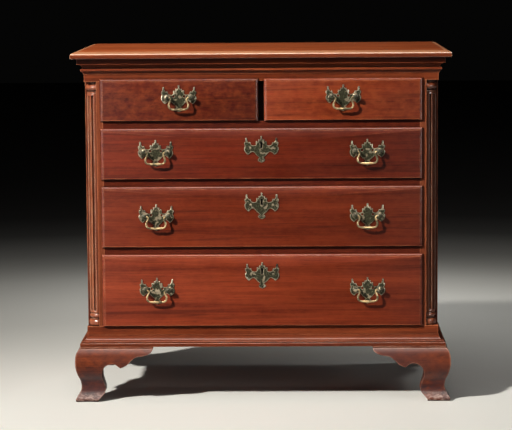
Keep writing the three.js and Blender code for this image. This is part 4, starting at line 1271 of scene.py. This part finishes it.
# %% [markdown]
# The bail is one bent rod, swelled at the grip where the fingers go and thinned at the
# shoulders. The ring of the loft follows a smooth line and changes its size on the way.

# %% Bail
bail_line = [
    (29.6, 0, 1.9), (25, 0, 2.1), (21.4, -1.6, 2.5), (19.8, -5.6, 2.2), (21.8, -11, 2.3),
    (24.4, -17.6, 2.6), (23.6, -24, 2.5), (19.4, -28.2, 2.2), (12, -29.6, 2.6), (0, -30, 3.1),
]
rod_sides = 14


def bail_mesh():
    line = [*bail_line, *[(-x, z, r) for x, z, r in reversed(bail_line[:-1])]]
    places = bend([(x, z) for x, z, _ in line], 5)
    sizes = [size for size, _ in bend([(r, 0) for _, _, r in line], 5)]
    outward = Vector((0, 1, 0))
    rings = []
    for i, (x, z) in enumerate(places):
        ahead = places[min(i + 1, len(places) - 1)]
        behind = places[max(i - 1, 0)]
        along = Vector((ahead[0] - behind[0], 0, ahead[1] - behind[1])).normalized()
        across = outward.cross(along)
        middle = Vector((x, 0, z)) * MM
        rings.append([
            middle + (across * math.cos(a) + outward * math.sin(a)) * sizes[i] * MM
            for a in circle(rod_sides)
        ])
    return mesh_of("bail", loft(rings))


# %% [markdown]
# Each drawer carries a pull near each end, except the short ones, which have one each. The
# construction knows where every bail is hinged, so plate and bail are put there. The plate
# belongs to the drawer, and the bail to a body of its own that swings.

# %% Place the pulls
long_drawers = [drawer for drawer in drawers if not drawer.startswith("short")]
pulls = {drawer: drawer for drawer in drawers if drawer not in long_drawers}
pulls.update({f"{drawer}_{end}": drawer for drawer in long_drawers for end in ("left", "right")})
for name, drawer in pulls.items():
    swing = name.replace("_drawer", "") + "_bail"
    hinge = next(joint for joint in frame["joints"] if joint["child"] == swing)
    pivot = Vector(hinge["pos_m"])
    face_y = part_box(f"{drawer}_front")[0].y
    plate = pull_plate()
    plate.transform(Matrix.Translation((pivot.x, face_y - plate_thickness, pivot.z)))
    show(plate, f"{name}_brass_plate", brass, [f"{name}_pull_plate"], drawer, 40)
    rod = bail_mesh()
    rod.transform(Matrix.Translation(pivot))
    show(rod, f"{name}_brass_bail", handled_brass, [f"{name}_bail"], swing, 60)
print("pulls placed:", len(pulls))

# %% [markdown]
# The escutcheons use the same outline a little smaller, with the keyhole through the middle,
# a pair of round piercings in the drop, and a domed nail in each wing.

# %% Escutcheons
escutcheon_share = 43 / 44
drop_holes = round_holes(3.6 * MM, -28 * MM, 1.3 * MM, 10)
nail_half_gap = 28.5 * MM
for drawer in long_drawers:
    nail_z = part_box(f"{drawer}_escutcheon")[1].z - escutcheon_rise
    face_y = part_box(f"{drawer}_front")[0].y
    plate = plate_skin([keyhole_outline(0), *drop_holes])
    mesh = mesh_of("escutcheon", plate, *side_pair(nail, nail_half_gap))
    mesh.transform(Matrix.Diagonal((escutcheon_share, 1, 1, 1)))
    mesh.transform(Matrix.Translation((0, face_y - plate_thickness, nail_z)))
    show(mesh, f"{drawer}_brass_escutcheon", brass, [f"{drawer}_escutcheon"], drawer, 40)
print("escutcheons placed:", len(long_drawers))

# %% [markdown]
# The back is of wide rough boards laid across and nailed at their ends, with gaps where they
# have shrunk. Nobody was meant to see it, so it was never planed or polished.

# %% Backboards
back_low, back_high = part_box("backboard")
board_count = 4
shrink_gap = 1.2 * MM
nail_inset = 6 * MM
back_wood = bare_wood("back_wood", "x", (0.1, 0.5, 0.9), tint(88, 60, 38), tint(150, 110, 70))
nail_head = turned([(0, 3), (0.35, 3), (0.4, 2.4)], 8)
boards, heads = [], []
board_height = (back_high.z - back_low.z) / board_count
for i in range(board_count):
    low_z = back_low.z + i * board_height
    rear_y = back_high.y - 0.3 * MM * (i % 2)
    board_z = (low_z, low_z + board_height - shrink_gap)
    boards.append(box_skin((back_low.x, back_high.x), (back_low.y, rear_y), board_z))
    for x in (back_low.x + nail_inset, back_high.x - nail_inset):
        for share in (0.2, 0.5, 0.8):
            heads.append(moved(nail_head, (x, rear_y - 0.4 * MM, low_z + share * board_height)))
show(mesh_of("backboards", *boards), "nailed_backboards", back_wood, ["backboard"])
show(mesh_of("back_nails", *heads), "back_nails", iron)
print("back has", len(boards), "boards and", len(heads), "nails")

# %% [markdown]
# The boards that the construction already has right only need a finish. Their edges are
# razor sharp there, and the finish softens them for the light, so the boards stay as they
# are. The dividers and the partition between the short drawers are darkened with painted shade.

# %% Finish the plain boards
side_wood = polished_wood("case_side_wood", "z", (0.45, 0.25, 0.75), tint(78, 30, 18), tint(146, 66, 38))
# Painted shade: the dividers are darker than the fronts, for the shadow under the drawers' lips.
rail_wood = polished_wood(
    "rail_wood", "x", (0.05, 0.55, 0.25), tint(66, 20, 11), tint(132, 48, 27),
    wear=0.15, dirt_reach=0.02, dirt_start=0.94,
)
main_rail_wood = polished_wood(
    "main_rail_wood", "x", (0.65, 0.15, 0.45), front_dark, warm_light, dirt_reach=0.02
)
stile_wood = polished_wood("stile_wood", "z", (0.35, 0.15, 0.45), tint(100, 42, 24), tint(180, 96, 60))
# Painted shade: the partition between the short drawers is near black, for the shade deep in its gap.
partition_wood = polished_wood(
    "partition_wood", "y", (0.25, 0.35, 0.05), tint(24, 10, 7), tint(44, 18, 12), figure=0.0, wear=0.2
)
plain_boards = {
    side_wood: ["case_side_left", "case_side_right"],
    main_rail_wood: ["top_rail", "case_bottom"],
    rail_wood: ["drawer_divider_1", "drawer_divider_2", "drawer_divider_3"],
    stile_wood: ["front_stile_left", "front_stile_right"],
    partition_wood: ["small_drawer_partition"],
    inner_wood: [f"{drawer}_box" for drawer in drawers],
    bottom_wood: [f"{drawer}_bottom" for drawer in drawers],
    iron: [name for name in frame["nodes"] if name.endswith(("_lock", "_bolt"))],
}
for finish, names in plain_boards.items():
    for name in names:
        board = frame["nodes"][name]
        board.data.materials.clear()
        board.data.materials.append(finish)
print("plain solids finished:", sum(len(names) for names in plain_boards.values()))
